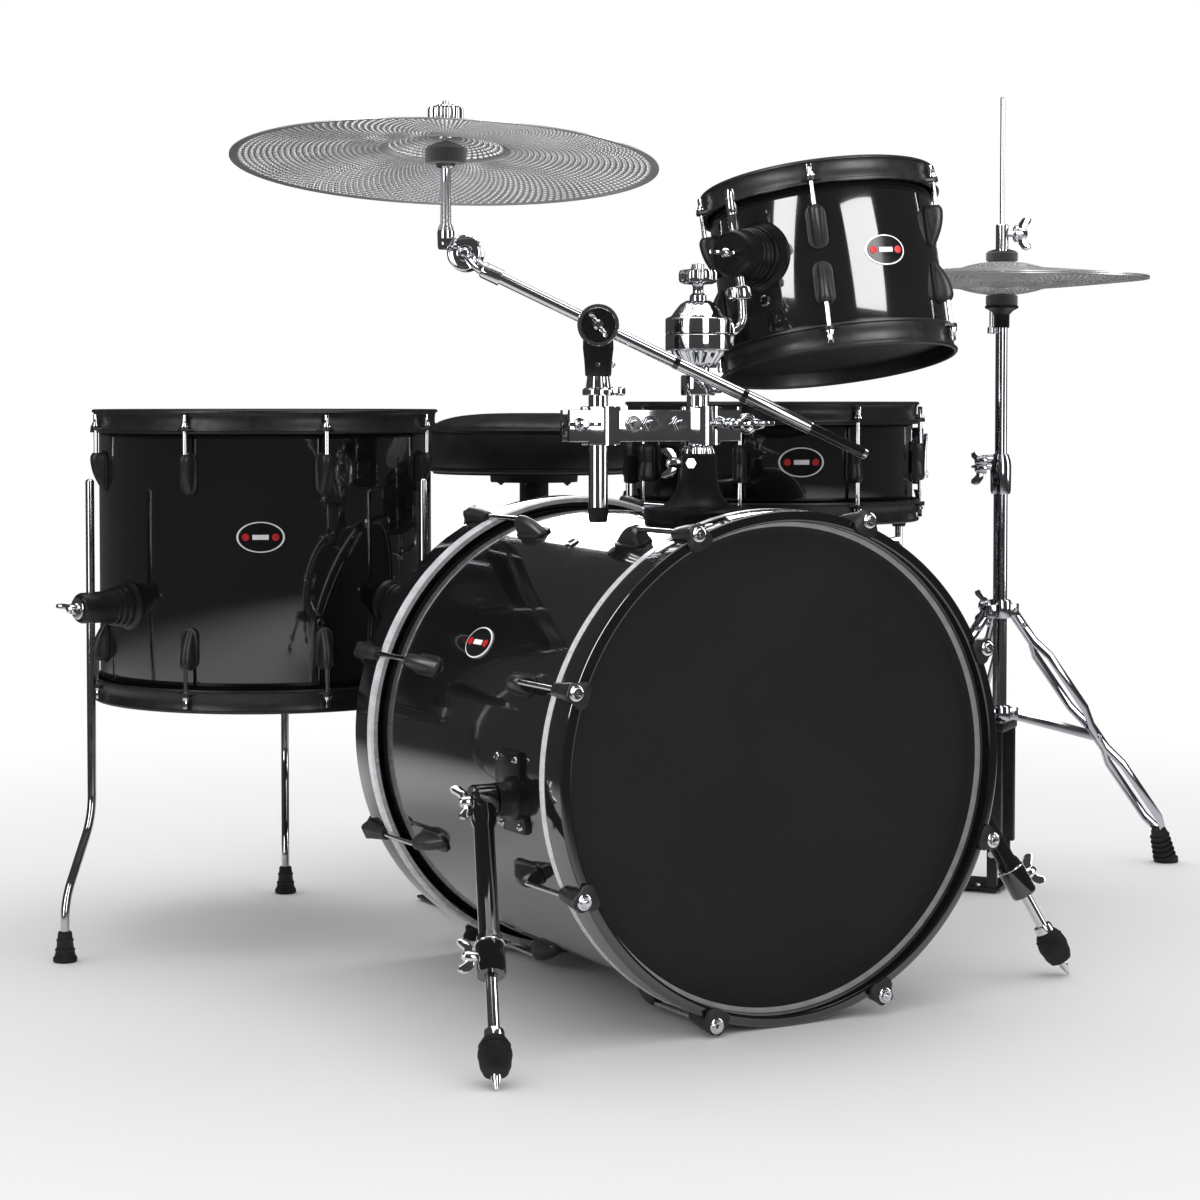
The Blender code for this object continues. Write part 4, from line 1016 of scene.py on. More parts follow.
def crash_stand():
    stem = Shape()
    back = axes(EYE, Z_AXIS, ACROSS)
    stem.turned(mm((0, 0.3), (18, 0.3), (19.4, 1.6), (19.4, 12.5), (17.5, 14), (0, 14)), back, 48)
    stem.hexagon(back @ shift(0, 0, 0.0135), 0.0070, 0.0045)
    neck = back.inverted() @ (CRASH_PIVOT + upward(-0.116))
    plate = mm((10, -8.8), (10, 8.8), x=neck.x, y=neck.y)
    plate += [(0.0186 * cos(radians(t)), 0.0186 * sin(radians(t))) for t in range(50, 291, 12)]
    stem.outline(plate, 0.0125, back @ shift(0, 0, 0.0072), 0.002)
    at = moved(CRASH_PIVOT)
    stem.turned(mm((0, -118), (7.8, -118), (8.8, -115), (9.2, -100), (7.8, -94), (5.8, -90), (5.8, -32),
                   (10, -30), (11, -26.8), (3.5, -26.5), (3.4, 38.5), (2.8, 40), (0, 40)), at, 40)
    stem.piece("crash_stem_body", "chrome", "crash_stem", ["cymbal_stem"])
    pads = Shape()
    pads.turned(mm((4, -26.2), (21.2, -26.2), (22.2, -25), (22.2, -11), (19, -8.5), (12, -5.2), (4, -3)),
                at, 56)
    pads.turned(mm((4, 3.6), (7, 4.2), (21.2, 8), (21.2, 10.5), (19.6, 14), (18, 15), (4, 15)), at, 56)
    pads.piece("crash_felts", "felt", "crash_stem", ["crash_lower_felt"])
    nut = Shape()
    nut.turned(mm((3.6, 15), (12, 15), (12.5, 17), (10, 19), (10, 35), (8.5, 36), (3.6, 36)), at, 72,
               (12, 0.08))
    nut.turned(mm((6, 17), (17, 17), (19, 19), (19, 31), (17.5, 33.5), (6, 33.5)), at, 96, (8, 0.24))
    nut.piece("crash_nut", "chrome", "crash_stem", ["crash_wing_nut"])
    disc = Shape()
    lean = at @ CRASH_LEAN.to_matrix().to_4x4() @ shift(0, 0, -0.029)
    perforated(disc, lean, CRASH_R, 0.030, 0.0075, 24, 8)
    disc.piece("crash_disc", "steel", "crash", ["crash_cymbal"], sharp=50)


def cymbal_height(radius, edge, height):
    """Height of a cymbal's underside: a shallow bow up to the shoulder, then the bell."""
    shoulder = 0.29 * edge
    if radius >= shoulder:
        t = (radius - shoulder) / (edge - shoulder)
        return 0.55 * height * (1 - t ** 1.15)
    t = (shoulder - radius) / shoulder
    return height * (0.55 + 0.45 * sin(t * pi / 2) ** 0.75)


def pierced(bm, cells):
    """The same four-cornered cell of both sheets, with an eight-sided hole through them."""
    mouths = []
    for layer, corners in enumerate(cells):
        middle = sum((v.co for v in corners), Vector()) / 4
        mouth = []
        for k in range(4):
            here, after = corners[k].co - middle, corners[(k + 1) % 4].co - middle
            mouth.append(bm.verts.new(middle + here * HOLE_CORNER))
            mouth.append(bm.verts.new(middle + (here + after) * 0.5 * HOLE_SIDE))
        for k in range(4):
            face = [corners[k], corners[(k + 1) % 4], mouth[(2 * k + 2) % 8], mouth[2 * k + 1],
                    mouth[2 * k]]
            bm.faces.new(face[::-1] if layer else face)
        mouths.append(mouth)
    for k in range(8):
        after = (k + 1) % 8
        bm.faces.new((mouths[0][k], mouths[0][after], mouths[1][after], mouths[1][k]))


def cymbal_levels(edge, hole, rows, bell_rows):
    """(radius, columns) of the grid's rings: the bell, the bow in three times as many columns, the rim."""
    columns = 144 if edge > 0.2 else 120
    few = columns // 3
    bell, bow = hole * 2.4, 0.30 * edge
    levels = [(hole, few), (hole * 1.9, few)]
    levels += [(bell + (bow * 0.92 - bell) * i / bell_rows, few) for i in range(bell_rows + 1)]
    levels += [(bow * 1.02 + (edge * 0.965 - bow * 1.02) * i / rows, columns) for i in range(rows + 1)]
    return levels + [(edge * 0.985, columns), (edge, columns)]


def perforated(shape, place, edge, height, hole, rows, bell_rows):
    """A cymbal of thin sheet with a hole in every cell of a sheared polar grid."""
    levels = cymbal_levels(edge, hole, rows, bell_rows)
    rings = {0: [], 1: []}
    twist = 0.0
    for number, (radius, count) in enumerate(levels):
        if number and levels[number - 1][1] == count and radius < edge * 0.98:
            twist += pi / count
        for layer in (0, 1):
            z = cymbal_height(radius, edge, height) + layer * CYMBAL_SHEET
            ring = []
            for j in range(count):
                turn = twist + 2 * pi * j / count
                point = Vector((radius * cos(turn), radius * sin(turn), z))
                ring.append(shape.bm.verts.new(place @ point))
            rings[layer].append(ring)
    holed = set(range(2, 2 + bell_rows)) | set(range(3 + bell_rows, 3 + bell_rows + rows))
    for number in range(len(levels) - 1):
        count, above = levels[number][1], levels[number + 1][1]
        for j in range(count):
            if above != count:
                for layer in (0, 1):
                    low, high = rings[layer][number], rings[layer][number + 1]
                    fan = [high[(3 * j + k) % above] for k in range(3, -1, -1)]
                    corners = [low[j], low[(j + 1) % count], *fan]
                    shape.bm.faces.new(corners if layer else corners[::-1])
                continue
            cells = []
            for layer in (0, 1):
                low, high = rings[layer][number], rings[layer][number + 1]
                cells.append([low[j], low[(j + 1) % count], high[(j + 1) % count], high[j]])
            if number not in holed:
                shape.bm.faces.new(cells[1][::-1])
                shape.bm.faces.new(cells[0])
                continue
            pierced(shape.bm, cells)
    for number in (0, len(levels) - 1):
        count = levels[number][1]
        for j in range(count):
            wall = [rings[0][number][j], rings[0][number][(j + 1) % count]]
            wall += [rings[1][number][(j + 1) % count], rings[1][number][j]]
            shape.bm.faces.new(wall)
    bmesh.ops.recalc_face_normals(shape.bm, faces=shape.bm.faces)


# Rack tom


def rack_tom():
    dress_drum("rack_tom", TOM_R, TOM_DEPTH, TOM_PLACE, TOM_LUGS, "rack_tom")
    badge(facing(TOM_PLACE, radians(266.5), TOM_R, 0), "rack_tom", "rack_tom", TOM_R, 0.050, 0.034)
    spot = facing(TOM_PLACE, TOM_ROD_ANGLE, 0, 0.012)
    outwards = spot @ OUTWARDS
    plate = Shape()
    profile = mm((0, -2), (40, -6), (40.5, -2), (37.5, 1.6), y=TOM_R)
    for radius, reach in ((0.0335, 0.010), (0.0310, 0.016), (0.0300, 0.022), (0.0290, 0.028)):
        profile += mm((0, -6), (0, -1.2), (-1.2, 0), x=radius, y=TOM_R + reach)
    profile += mm((26.2, 44), (25, 48.5), (23.5, 49.8), y=TOM_R)
    profile += mm((22.5, 48.2), (0, 48.2), y=TOM_R)
    plate.turned(profile, outwards, 64)
    plate.block((0.006, 0.050, 0.034), spot @ shift(TOM_R - 0.003, 0, -0.046), 0.003)
    plate.piece("tom_bracket_body", "black", "rack_tom", ["tom_bracket"])
    bright = Shape()
    face = outwards @ shift(0, 0, TOM_R + 0.0475)
    bright.wing(face @ turn_z(radians(75)), 0.032, 0.0056)
    vent = spot @ shift(TOM_R - 0.001, 0.004, -0.050) @ OUTWARDS
    bright.turned(mm((4.2, 0), (6.8, 0), (7.2, 3), (5.6, 4.6), (4.2, 4)), vent, 32)
    bright.piece("tom_bracket_fittings", "chrome", "rack_tom")


def l_rod():
    low = TOM_PLACE @ polar((0, 0, 0), TOM_ROD_RADIUS, TOM_ROD_ANGLE, -0.050)
    high = TOM_PLACE @ polar((0, 0, 0), TOM_ROD_RADIUS, TOM_ROD_ANGLE, 0.085)
    up = (high - low).normalized()
    start = BALL + Vector((0.002, 0.0002, 0))
    corner = low.copy()
    corner.z = BALL.z
    rod = Shape()
    rod.pipe([start, corner, low + up * 0.018, low + up * 0.040], 0.0052, 24, 0.024, 12)
    place = between(low, high)
    rod.turned(mm((0, 36), (5.6, 36), (5.9, 38), (5.9, 104.5), (5.2, 105.5), (5.2, 108.5), (5.9, 109.5),
                  (5.9, 131), (5, 134.5), (0, 135)), place, 32)
    rod.ball(start, 0.0094, 32)
    lock = place @ shift(0, 0, 0.0175)
    rod.turned(mm((5, -7.5), (10.8, -7.5), (11.8, -6), (11.8, 6), (10.8, 7.5), (5, 7.5)), lock, 36)
    ear = axes(lock.translation + Vector((-0.014, -0.006, 0.0)), up, (-0.9, -0.4, 0))
    rod.block((0.013, 0.010, 0.014), ear, 0.002)
    rod.hexagon(ear @ shift(0, 0, 0.006), 0.0048, 0.0040)
    rod.piece("l_rod_body", "chrome", "tom_arm", ["tom_l_rod"])


# Floor tom


def floor_tom():
    place = moved(FLOOR_CENTRE)
    dress_drum("floor_tom", FLOOR_R, FLOOR_DEPTH, place, FLOOR_LUGS, "kit")
    badge(facing(place, radians(246.3), FLOOR_R, 0.029), "kit", "floor_tom", FLOOR_R)
    cones, bright = Shape(), Shape()
    for number, (angle, bend) in enumerate(FLOOR_LEGS, 1):
        turn = radians(angle)
        outwards = facing(place, turn, 0, -0.055) @ OUTWARDS
        profile = mm((0, -4), (29, -4), (29.5, 1), (27.5, 4), y=FLOOR_R)
        for radius, reach in ((0.0250, 0.012), (0.0235, 0.019), (0.0220, 0.026)):
            profile += mm((0, -6.5), (0, -1), (-1.2, 0), x=radius, y=FLOOR_R + reach)
        profile += mm((18.5, 40), (18, 65), (16.5, 68), (0, 68), y=FLOOR_R)
        cones.turned(profile, outwards, 56)
        face = outwards @ shift(0, 0, FLOOR_R + 0.0675)
        bright.turned(mm((0, 0), (12, 0), (13, 1.5), (13, 4), (11, 5.5), (0, 5.5)), face, 40)
        bright.wing(face @ turn_z(radians(80)) @ shift(0, 0, 0.002), 0.038, 0.0060)
        floor_leg(number, turn, radians(bend))
    cones.piece("floor_tom_leg_brackets", "black", "kit")
    bright.piece("floor_tom_leg_screws", "chrome", "kit")


def floor_leg(number, turn, bend):
    leg = polar(FLOOR_CENTRE, FLOOR_LEG_RADIUS, turn, 0)
    foot = polar(leg, FLOOR_LEG_OFFSET, bend)
    points = [leg + upward(0.552), leg + upward(0.158), foot + upward(0.070), foot + upward(0.018)]
    shaft = Shape()
    shaft.pipe(points, 0.0051, 24, 0.026, 12)
    shaft.ball(leg + upward(0.5518), 0.0050, 24, 0.6)
    for k in range(4):
        shaft.ring(moved(leg + upward(0.530 - 0.0045 * k)), 0.0051, 0.0005, 24, 6)
    shaft.piece(f"floor_tom_leg_{number}_rod", "tube", f"floor_leg_{number}", [f"floor_tom_leg_{number}"])
    shoe = Shape()
    profile = mm((0, 0), (12.5, 0), (13.8, 1.2), (13.8, 5), (12, 7.5), (10.8, 12))
    profile += mm((11.4, 12.8), (11.4, 15), (10, 16), (9.2, 23), (9.8, 24))
    profile += mm((9.8, 26.2), (8.6, 27.2), (8, 34), (6.6, 35.2), (0, 35.2))
    shoe.turned(profile, moved(foot), 40)
    shoe.piece(f"floor_tom_leg_{number}_shoe", "rubber", f"floor_leg_{number}")


# Snare drum


def snare():
    place = moved(SNARE_CENTRE)
    dress_drum("snare", SNARE_R, SNARE_DEPTH, place, SNARE_LUGS, "snare")
    badge(facing(place, SNARE_BADGE, SNARE_R, 0.002), "snare", "snare", SNARE_R)
    base = facing(place, SNARE_STRAINER, SNARE_R, 0)
    strainer, bright = Shape(), Shape()
    strainer.block((0.004, 0.032, 0.068), base @ shift(0.0012, 0, 0.004), 0.0016)
    strainer.block((0.014, 0.022, 0.044), base @ shift(0.007, 0, 0.008), 0.003)
    strainer.block((0.012, 0.034, 0.036), facing(place, SNARE_STRAINER + pi, SNARE_R + 0.004, -0.01), 0.003)
    strainer.piece("snare_strainer", "black", "snare")
    bright.turned(mm((0, -30), (5.5, -30), (5.5, 22), (7.5, 24), (7.5, 40), (6.2, 42), (0, 42)), base @
                  shift(0.0085, -0.0145, 0), 48, (10, 0.05))
    bright.rod(base @ Vector((0.010, 0.002, -0.018)), base @ Vector((0.026, 0.002, -0.018)), 0.0050)
    bright.bolt(base @ shift(0.0028, 0, 0.032) @ OUTWARDS, 0.0035, 0.0022)
    bright.bolt(base @ shift(0.0028, 0, -0.024) @ OUTWARDS, 0.0035, 0.0022)
    bright.piece("snare_strainer_fittings", "chrome", "snare")
    lever = Shape()
    sections = []
    for z, x, half, thick in ((-0.022, 0.0205, 0.0060, 0.0030), (-0.010, 0.0205, 0.0066, 0.0030),
                              (0.010, 0.0212, 0.0068, 0.0026), (0.026, 0.0222, 0.0078, 0.0024),
                              (0.034, 0.0232, 0.0070, 0.0020)):
        section = []
        for k in range(16):
            turn = 2 * pi * k / 16
            section.append(base @ Vector((x + thick * cos(turn), half * sin(turn), z)))
        sections.append(section)
    lever.loft(sections)
    lever.piece("throw_off_handle", "chrome", "throw_off", ["throw_off_lever"])
    snare_strands(place)
    snare_basket()


def snare_strands(place):
    """Coiled strands under the bottom head, between two end plates, on straps up to the strainer."""
    local = place @ turn_z(SNARE_STRAINER) @ shift(0, 0, -SNARE_DEPTH / 2 - 0.0032)
    strands = Shape()
    for k in range(20):
        y = -0.019 + 0.038 * k / 19
        points = []
        for i in range(61):
            turn = 2 * pi * i / 4
            points.append(local @ Vector((-0.135 + 0.270 * i / 60, y + 0.0006 * cos(turn),
                                          0.0006 * sin(turn))))
        strands.pipe(points, 0.00032, 5)
    for side in (-1, 1):
        strands.block((0.012, 0.043, 0.0012), local @ shift(side * 0.139, 0, 0), 0.0004)
    strands.piece("snare_strand_set", "wire", "snare", ["snare_wires"])
    straps = Shape()
    for side in (-1, 1):
        path = mm((140, -0.2), (170, -6), (183.5, -12), (193, 4), (188, 22))
        sections = []
        for x, z in path:
            sections.append([local @ Vector((side * x, y, z + dz)) for y,
                             dz in ((-0.011, -0.0003), (0.011, -0.0003), (0.011, 0.0003),
                                    (-0.011, 0.0003))])
        straps.loft(sections)
    straps.piece("snare_straps", "pressed", "snare")


def snare_basket():
    centre = Vector((SNARE_CENTRE.x, SNARE_CENTRE.y, 0))
    hub = centre + upward(0.440)
    frame_parts, grips = Shape(), Shape()
    frame_parts.rod(centre + upward(0.200), hub, 0.0098, 40)
    frame_parts.turned(mm((0, -16), (19, -16), (20.5, -13), (20.5, 13), (19, 16), (0, 16)), moved(hub), 40)
    for degrees in (0, 120, 240):
        angle = radians(degrees)
        inner, outer = polar(hub, 0.014, angle), polar(hub, 0.197, angle, 0.462)
        tangent = Vector((-sin(angle), cos(angle), 0))
        for side in (-1, 1):
            frame_parts.strip(inner + tangent * side * 0.007, outer + tangent * side * 0.004, 0.0035,
                              0.013, tangent)
        for t in (0.12, 0.55, 0.96):
            spot = inner.lerp(outer, t)
            frame_parts.rod(spot - tangent * 0.010, spot + tangent * 0.010, 0.0032, 16)
        tall = outer + upward(0.037)
        frame_parts.rod(outer - upward(0.006), tall, 0.0048, 20)
        grips.turned(mm((0, 0), (7.8, 0), (9.2, 3), (9.2, 20), (8, 23), (0, 23)),
                     moved(outer + upward(0.020)), 28)
    screw = axes(hub + KIT_FRONT * 0.019, Z_AXIS, KIT_FRONT)
    frame_parts.wing(screw, 0.038, 0.0056)
    frame_parts.piece("snare_basket_frame", "chrome", "snare", ["snare_basket"])
    grips.piece("snare_basket_grips", "rubber", "snare")


# Stands


def ribbed_foot(shape, foot, lean):
    """A finned rubber foot that leans along its leg."""
    up = Vector((-lean.x * 0.35, -lean.y * 0.35, 1)).normalized()
    place = between(foot, foot + up)
    profile = mm((0, 4), (13.5, 4))
    for k in range(5):
        z = 0.009 + 0.0075 * k
        wide = 0.0150 - 0.0006 * k
        profile += [(0.0128 - 0.0004 * k, z), (wide + 0.0012, z + 0.0010), (wide + 0.0012, z + 0.0026),
                    (0.0126 - 0.0004 * k, z + 0.0036)]
    profile += mm((10.8, 49), (9, 52), (0, 52))
    shape.turned(profile, place, 36)
    shape.turned(mm((0, 0.3), (16.5, 0.3), (17.2, 2), (16.5, 8.5), (12, 10.5), (0, 10.5)), moved(foot), 36)


def parted_leg(shape, shoulder, toe, spread, width=0.0028, deep=0.0125):
    """Two flat strips from shoulder to toe that part into two long openings and meet between them."""
    along = toe - shoulder
    axis = along.normalized()
    tangent = axis.cross(Z_AXIS).normalized()
    normal = tangent.cross(axis).normalized()
    stops = ((0.0, 0.20), (0.13, 0.20), (0.19, 1.0), (0.42, 1.0), (0.50, 0.22), (0.60, 0.22), (0.67, 1.0),
             (0.92, 1.0), (0.985, 0.22), (1.0, 0.22))
    for side in (-1, 1):
        path = [shoulder + along * t + tangent * (side * spread * s) for t, s in stops]
        sections = []
        for i, point in enumerate(path):
            before = (point - path[i - 1]).normalized() if i else None
            after = (path[i + 1] - point).normalized() if i + 1 < len(path) else None
            line = ((before or after) + (after or before)).normalized()
            across = line.cross(normal).normalized()
            stretch = 1 / max(0.5, line.dot(after or before))
            sections.append([point + across * (x * width / 2 * stretch) + normal * (y * deep / 2) for x,
                             y in ((-1, -0.86), (-0.6, -1), (0.6, -1), (1, -0.86), (1, 0.86), (0.6, 1),
                                   (-0.6, 1), (-1, 0.86))])
        shape.loft(sections)
    for t in (0.06, 0.55):
        spot = shoulder + along * t
        shape.rod(spot - tangent * 0.0072, spot + tangent * 0.0072, 0.0036, 20)
        shape.rod(spot - tangent * 0.0088, spot + tangent * 0.0088, 0.0022, 12)


def tripod(metal, rubber_parts, centre, angles, foot_radius, collar_z, tube_r, low_z, spread, wing=True):
    """Leg collar with ears, parted legs, level braces to a lower collar and finned feet."""
    at = moved(centre)
    for z in (collar_z, low_z):
        metal.turned(mm((-0.8, -12), (4.2, -12), (5.2, -10), (5.2, 10), (4.2, 12), (-0.8, 12), x=tube_r,
                        y=z), at, 48)
    for degrees in angles:
        angle = radians(degrees)
        out = Vector((cos(angle), sin(angle), 0))
        tangent = Vector((-out.y, out.x, 0))
        shoulder = polar(centre, tube_r + 0.014, angle, collar_z - 0.004)
        toe = polar(centre, foot_radius - 0.006, angle, 0.040)
        for z, reach in ((collar_z - 0.002, 0.013), (low_z, 0.012)):
            for side in (-1, 1):
                metal.block((0.022, 0.0026, 0.016), axes(polar(centre, tube_r + 0.009, angle, z) +
                                                         tangent * side * 0.0056, out, Z_AXIS), 0.0008)
            spot = polar(centre, tube_r + reach, angle, z)
            metal.rod(spot - tangent * 0.0088, spot + tangent * 0.0088, 0.0034, 16)
        parted_leg(metal, shoulder, toe, spread)
        middle = shoulder.lerp(toe, 0.55)
        inner = polar(centre, tube_r + 0.010, angle, low_z)
        metal.strip(inner, middle, 0.0030, 0.0135, tangent)
        ribbed_foot(rubber_parts, polar(centre, foot_radius, angle, 0), out)
    if wing:
        left = Vector((-0.85, 0.52, 0)).normalized()
        metal.wing(axes(centre + upward(collar_z + 0.004) + left * (tube_r + 0.004), Z_AXIS, left), 0.042,
                   0.0070)


def snare_stand():
    centre = Vector((SNARE_CENTRE.x, SNARE_CENTRE.y, 0))
    metal, feet = Shape(), Shape()
    metal.tube(centre + upward(0.080), centre + upward(0.330), 0.0127, 0.0103, 48)
    metal.turned(mm((10.4, 300), (16.5, 300), (17.5, 303), (17.5, 328), (16, 333), (10.4, 333)),
                 moved(centre), 40)
    metal.wing(axes(centre + Vector((-0.008, -0.014, 0.316)), Z_AXIS, (-0.48, -0.87, 0)), 0.036, 0.0056)
    tripod(metal, feet, centre, (0, 120, 240), 0.170, 0.235, 0.0127, 0.110, 0.012)
    metal.piece("snare_stand_frame", "chrome", "kit", ["snare_stand_base"])
    feet.piece("snare_stand_feet", "rubber", "kit")


def hi_hat_stand():
    at = moved(HAT)
    metal, feet, black = Shape(), Shape(), Shape()
    metal.tube(HAT + upward(0.214), HAT + upward(0.562), HAT_TUBE, HAT_TUBE - 0.0010, 48)
    collar = mm((-1.2, 523.5), (2.8, 523.5), (4.2, 528), (4.6, 560), x=HAT_TUBE)
    collar += mm((3.6, 568), (1, 575.5), x=HAT_TUBE) + mm((0.4, 576.5), (0.4, 523.5), x=HAT_UPPER)
    metal.turned(collar, at, 48)
    left = KIT_LEFT
    ear = HAT + left * (HAT_TUBE + 0.010)
    for z, span in ((0.5600, 0.044), (0.5700, 0.020)):
        metal.rod(HAT + left * HAT_TUBE + upward(z), ear + upward(z), 0.0050, 20)
        metal.wing(axes(ear + upward(z - 0.003), left * 0.3 + Z_AXIS, left), span, 0.0066)
    tripod(metal, feet, HAT, HAT_LEGS, HAT_FOOT_RADIUS, 0.372, HAT_TUBE, 0.232, 0.0135)
    metal.piece("hihat_stand_frame", "tube", "kit", ["hihat_stand"])
    feet.piece("hihat_stand_feet", "rubber", "kit")

    black.block((0.030, 0.076, 0.013), HAT_PEDAL @ shift(0, 0, 0.2185), 0.003)
    for side in (-1, 1):
        black.block((0.026, 0.0095, 0.160), HAT_PEDAL @ shift(0, side * 0.0330, 0.140), 0.003)
        black.block((0.014, 0.0070, 0.066), HAT_PEDAL @ shift(0, side * 0.0330, 0.034), 0.002)
    black.block((0.300, 0.074, 0.0045), HAT_PEDAL @ shift(0.139, 0, 0.0065), 0.0018)
    black.block((0.034, 0.062, 0.022), HAT_PEDAL @ shift(0.274, 0, 0.0165), 0.004)
    black.piece("hihat_pedal_frame", "black", "kit")
    bright = Shape()
    for side in (-1, 1):
        bright.bolt(axes(HAT_PEDAL @ Vector((0, side * 0.0378, 0.216)), Z_AXIS, HAT_PEDAL.to_3x3() @
                         Vector((0, side, 0))), 0.0048, 0.003)
        bright.rod(HAT_PEDAL @ Vector((0, side * 0.0400, 0.052)), HAT_PEDAL @
                   Vector((0, side * 0.0260, 0.052)), 0.0050)
    for x in (0.020, 0.250):
        for side in (-1, 1):
            bright.bolt(HAT_PEDAL @ shift(x, side * 0.030, 0.0085), 0.0038, 0.0022)
    bright.piece("hihat_pedal_screws", "chrome", "kit")


def hi_hat_upper():
    at = moved(HAT)
    cup = HAT_EDGE - HAT_HEIGHT - 0.0016
    upper = Shape()
    upper.tube(HAT + upward(0.430), HAT + upward(cup - 0.030), HAT_UPPER, HAT_UPPER - 0.002, 48)
    upper.piece("hihat_upper_pole", "tube", "hihat_upper", ["hihat_upper_tube"])
    Shape().turned(mm((6, -42), (10.2, -42), (10.4, -25), (15, -20), (21.6, -16.5), (22, -14.5),
                      (21.6, -13.2), (6, -13.2),
                      y=cup), at, 48).piece("hihat_seat_cup", "black", "hihat_upper")
    screw = Shape()
    side = KIT_LEFT * 0.0135
    screw.rod(HAT + side + upward(cup - 0.044), HAT + side + upward(cup - 0.017), 0.0026, 20)
    screw.rod(HAT + side + upward(cup - 0.050), HAT + side + upward(cup - 0.041), 0.0050, 24)
    screw.piece("hihat_tilt_screw", "chrome", "hihat_upper")
    Shape().turned(mm((6, -13), (19.5, -13), (20.8, -11.5), (20.8, -1.4), (19.5, 0.4), (6, 0.4), y=cup),
                   at, 48).piece("hihat_lower_felt", "felt", "hihat_upper")
    lower = Shape()
    perforated(lower, at @ shift(0, 0, HAT_EDGE) @ FLIPPED, HAT_R, HAT_HEIGHT, 0.0075, 18, 6)
    lower.piece("hihat_lower_disc", "steel", "hihat_upper", ["hihat_bottom_cymbal"], sharp=50)


def hi_hat_pull():
    at = moved(HAT)
    top = Shape()
    perforated(top, at @ shift(0, 0, HAT_EDGE + HAT_OPEN), HAT_R, HAT_HEIGHT, 0.0050, 18, 6)
    top.piece("hihat_upper_disc", "steel", "hihat_rod", ["hihat_top_cymbal"], sharp=50)

    bell = HAT_EDGE + HAT_OPEN + HAT_HEIGHT + 0.0014
    Shape().turned(mm((4.5, 0), (19.5, 0), (20.8, 1.4), (20.8, 10.5), (19.5, 12), (4.5, 12), y=bell), at,
                   48).piece("hihat_upper_felt", "felt", "hihat_rod")
    clutch = Shape()
    clutch.turned(mm((4, 11.8), (18, 11.8), (19, 12.8), (12, 15), (8.2, 16), (8.2, 47), (7.4, 48), (4, 48),
                     y=bell), at, 40)
    right = -KIT_LEFT
    neck = HAT + upward(bell + 0.036)
    clutch.rod(neck + right * 0.0070, neck + right * 0.0230, 0.0040, 24)
    clutch.turned(mm((0, 15), (8.5, 15), (11, 17), (11, 20), (8.5, 22), (0, 22)),
                  between(neck, neck + right), 32)
    clutch.wing(axes(neck + right * 0.0180, Z_AXIS, right), 0.044, 0.0072)
    clutch.piece("hihat_clutch_body", "chrome", "hihat_rod", ["hihat_clutch"])
    pull = Shape()
    pull.turned(mm((0, 150), (3.1, 150), (3.1, 1041.5), (2.4, 1043), (0, 1043)), at, 24)
    for k in range(5):
        link = HAT_PEDAL @ shift(0, 0, 0.150 - 0.0088 * k) @ turn_z(pi / 2 * (k % 2))
        pull.outline([(x, z) for x, z in obround(0.0064, 0.0125, 6)], 0.0030, link @ UPRIGHT, 0.0008)
    pull.piece("hihat_pull_rod_body", "chrome", "hihat_rod", ["hihat_pull_rod"])


def hi_hat_footboard():
    out = polar((0, 0, 0), 1, HAT_PEDAL_ANGLE)
    heel, toe = HAT + out * 0.256 + upward(0.037), HAT + out * 0.012 + upward(0.075)
    footboard("hihat_footboard_plate", heel, toe, 0.056, "hihat_footboard", ["hihat_footboard"])


def footboard(name, heel, toe, width, body, nodes):
    """A pedal board: waisted plate with raised grips."""
    along = toe - heel
    level = along.cross(Z_AXIS).normalized()
    place = axes((heel + toe) / 2, level, along.cross(level) * -1)
    if (place.to_3x3() @ upward(1)).z < 0:
        place = place @ FLIPPED
    length = along.length
    half = [(width * 0.40, -length / 2), (width * 0.46, -length * 0.42), (width * 0.47, -length * 0.1)]
    half += [(width * 0.50, length * 0.2), (width * 0.50, length * 0.42), (width * 0.40, length / 2)]
    shape = Shape()
    shape.outline(half + [(-x, y) for x, y in reversed(half)], 0.0055, place, 0.0015)
    for k in range(7):
        shape.block((width * 0.66, 0.0045, 0.0020), place @ shift(0, -length * 0.28 + length * 0.10 * k,
                                                                  0.0034), 0.0008)
    shape.piece(name, "black", body, nodes)


def throne():
    metal, feet = Shape(), Shape()
    metal.tube(THRONE + upward(0.090), THRONE + upward(0.400), 0.0150, 0.0124, 48)
    metal.turned(mm((12.6, 368), (19.2, 368), (20.2, 371), (20.2, 398), (18.8, 403), (12.6, 403)),
                 moved(THRONE), 48)
    metal.wing(axes(THRONE + Vector((-0.009, -0.016, 0.386)), Z_AXIS, (-0.48, -0.87, 0)), 0.042, 0.0066)
    tripod(metal, feet, THRONE, (90, 210, 330), 0.215, 0.250, 0.0150, 0.120, 0.012)
    metal.piece("throne_stand_frame", "black", "kit", ["throne_base"])
    feet.piece("throne_stand_feet", "rubber", "kit")
    Shape().turned(mm((0, 270), (11.6, 270), (11.6, 492), (19.5, 494), (20, 497), (20, 533.5), (0, 533.5)),
                   moved(THRONE), 40).piece("throne_post_body", "black", "throne_post", ["throne_post"])
    seat()


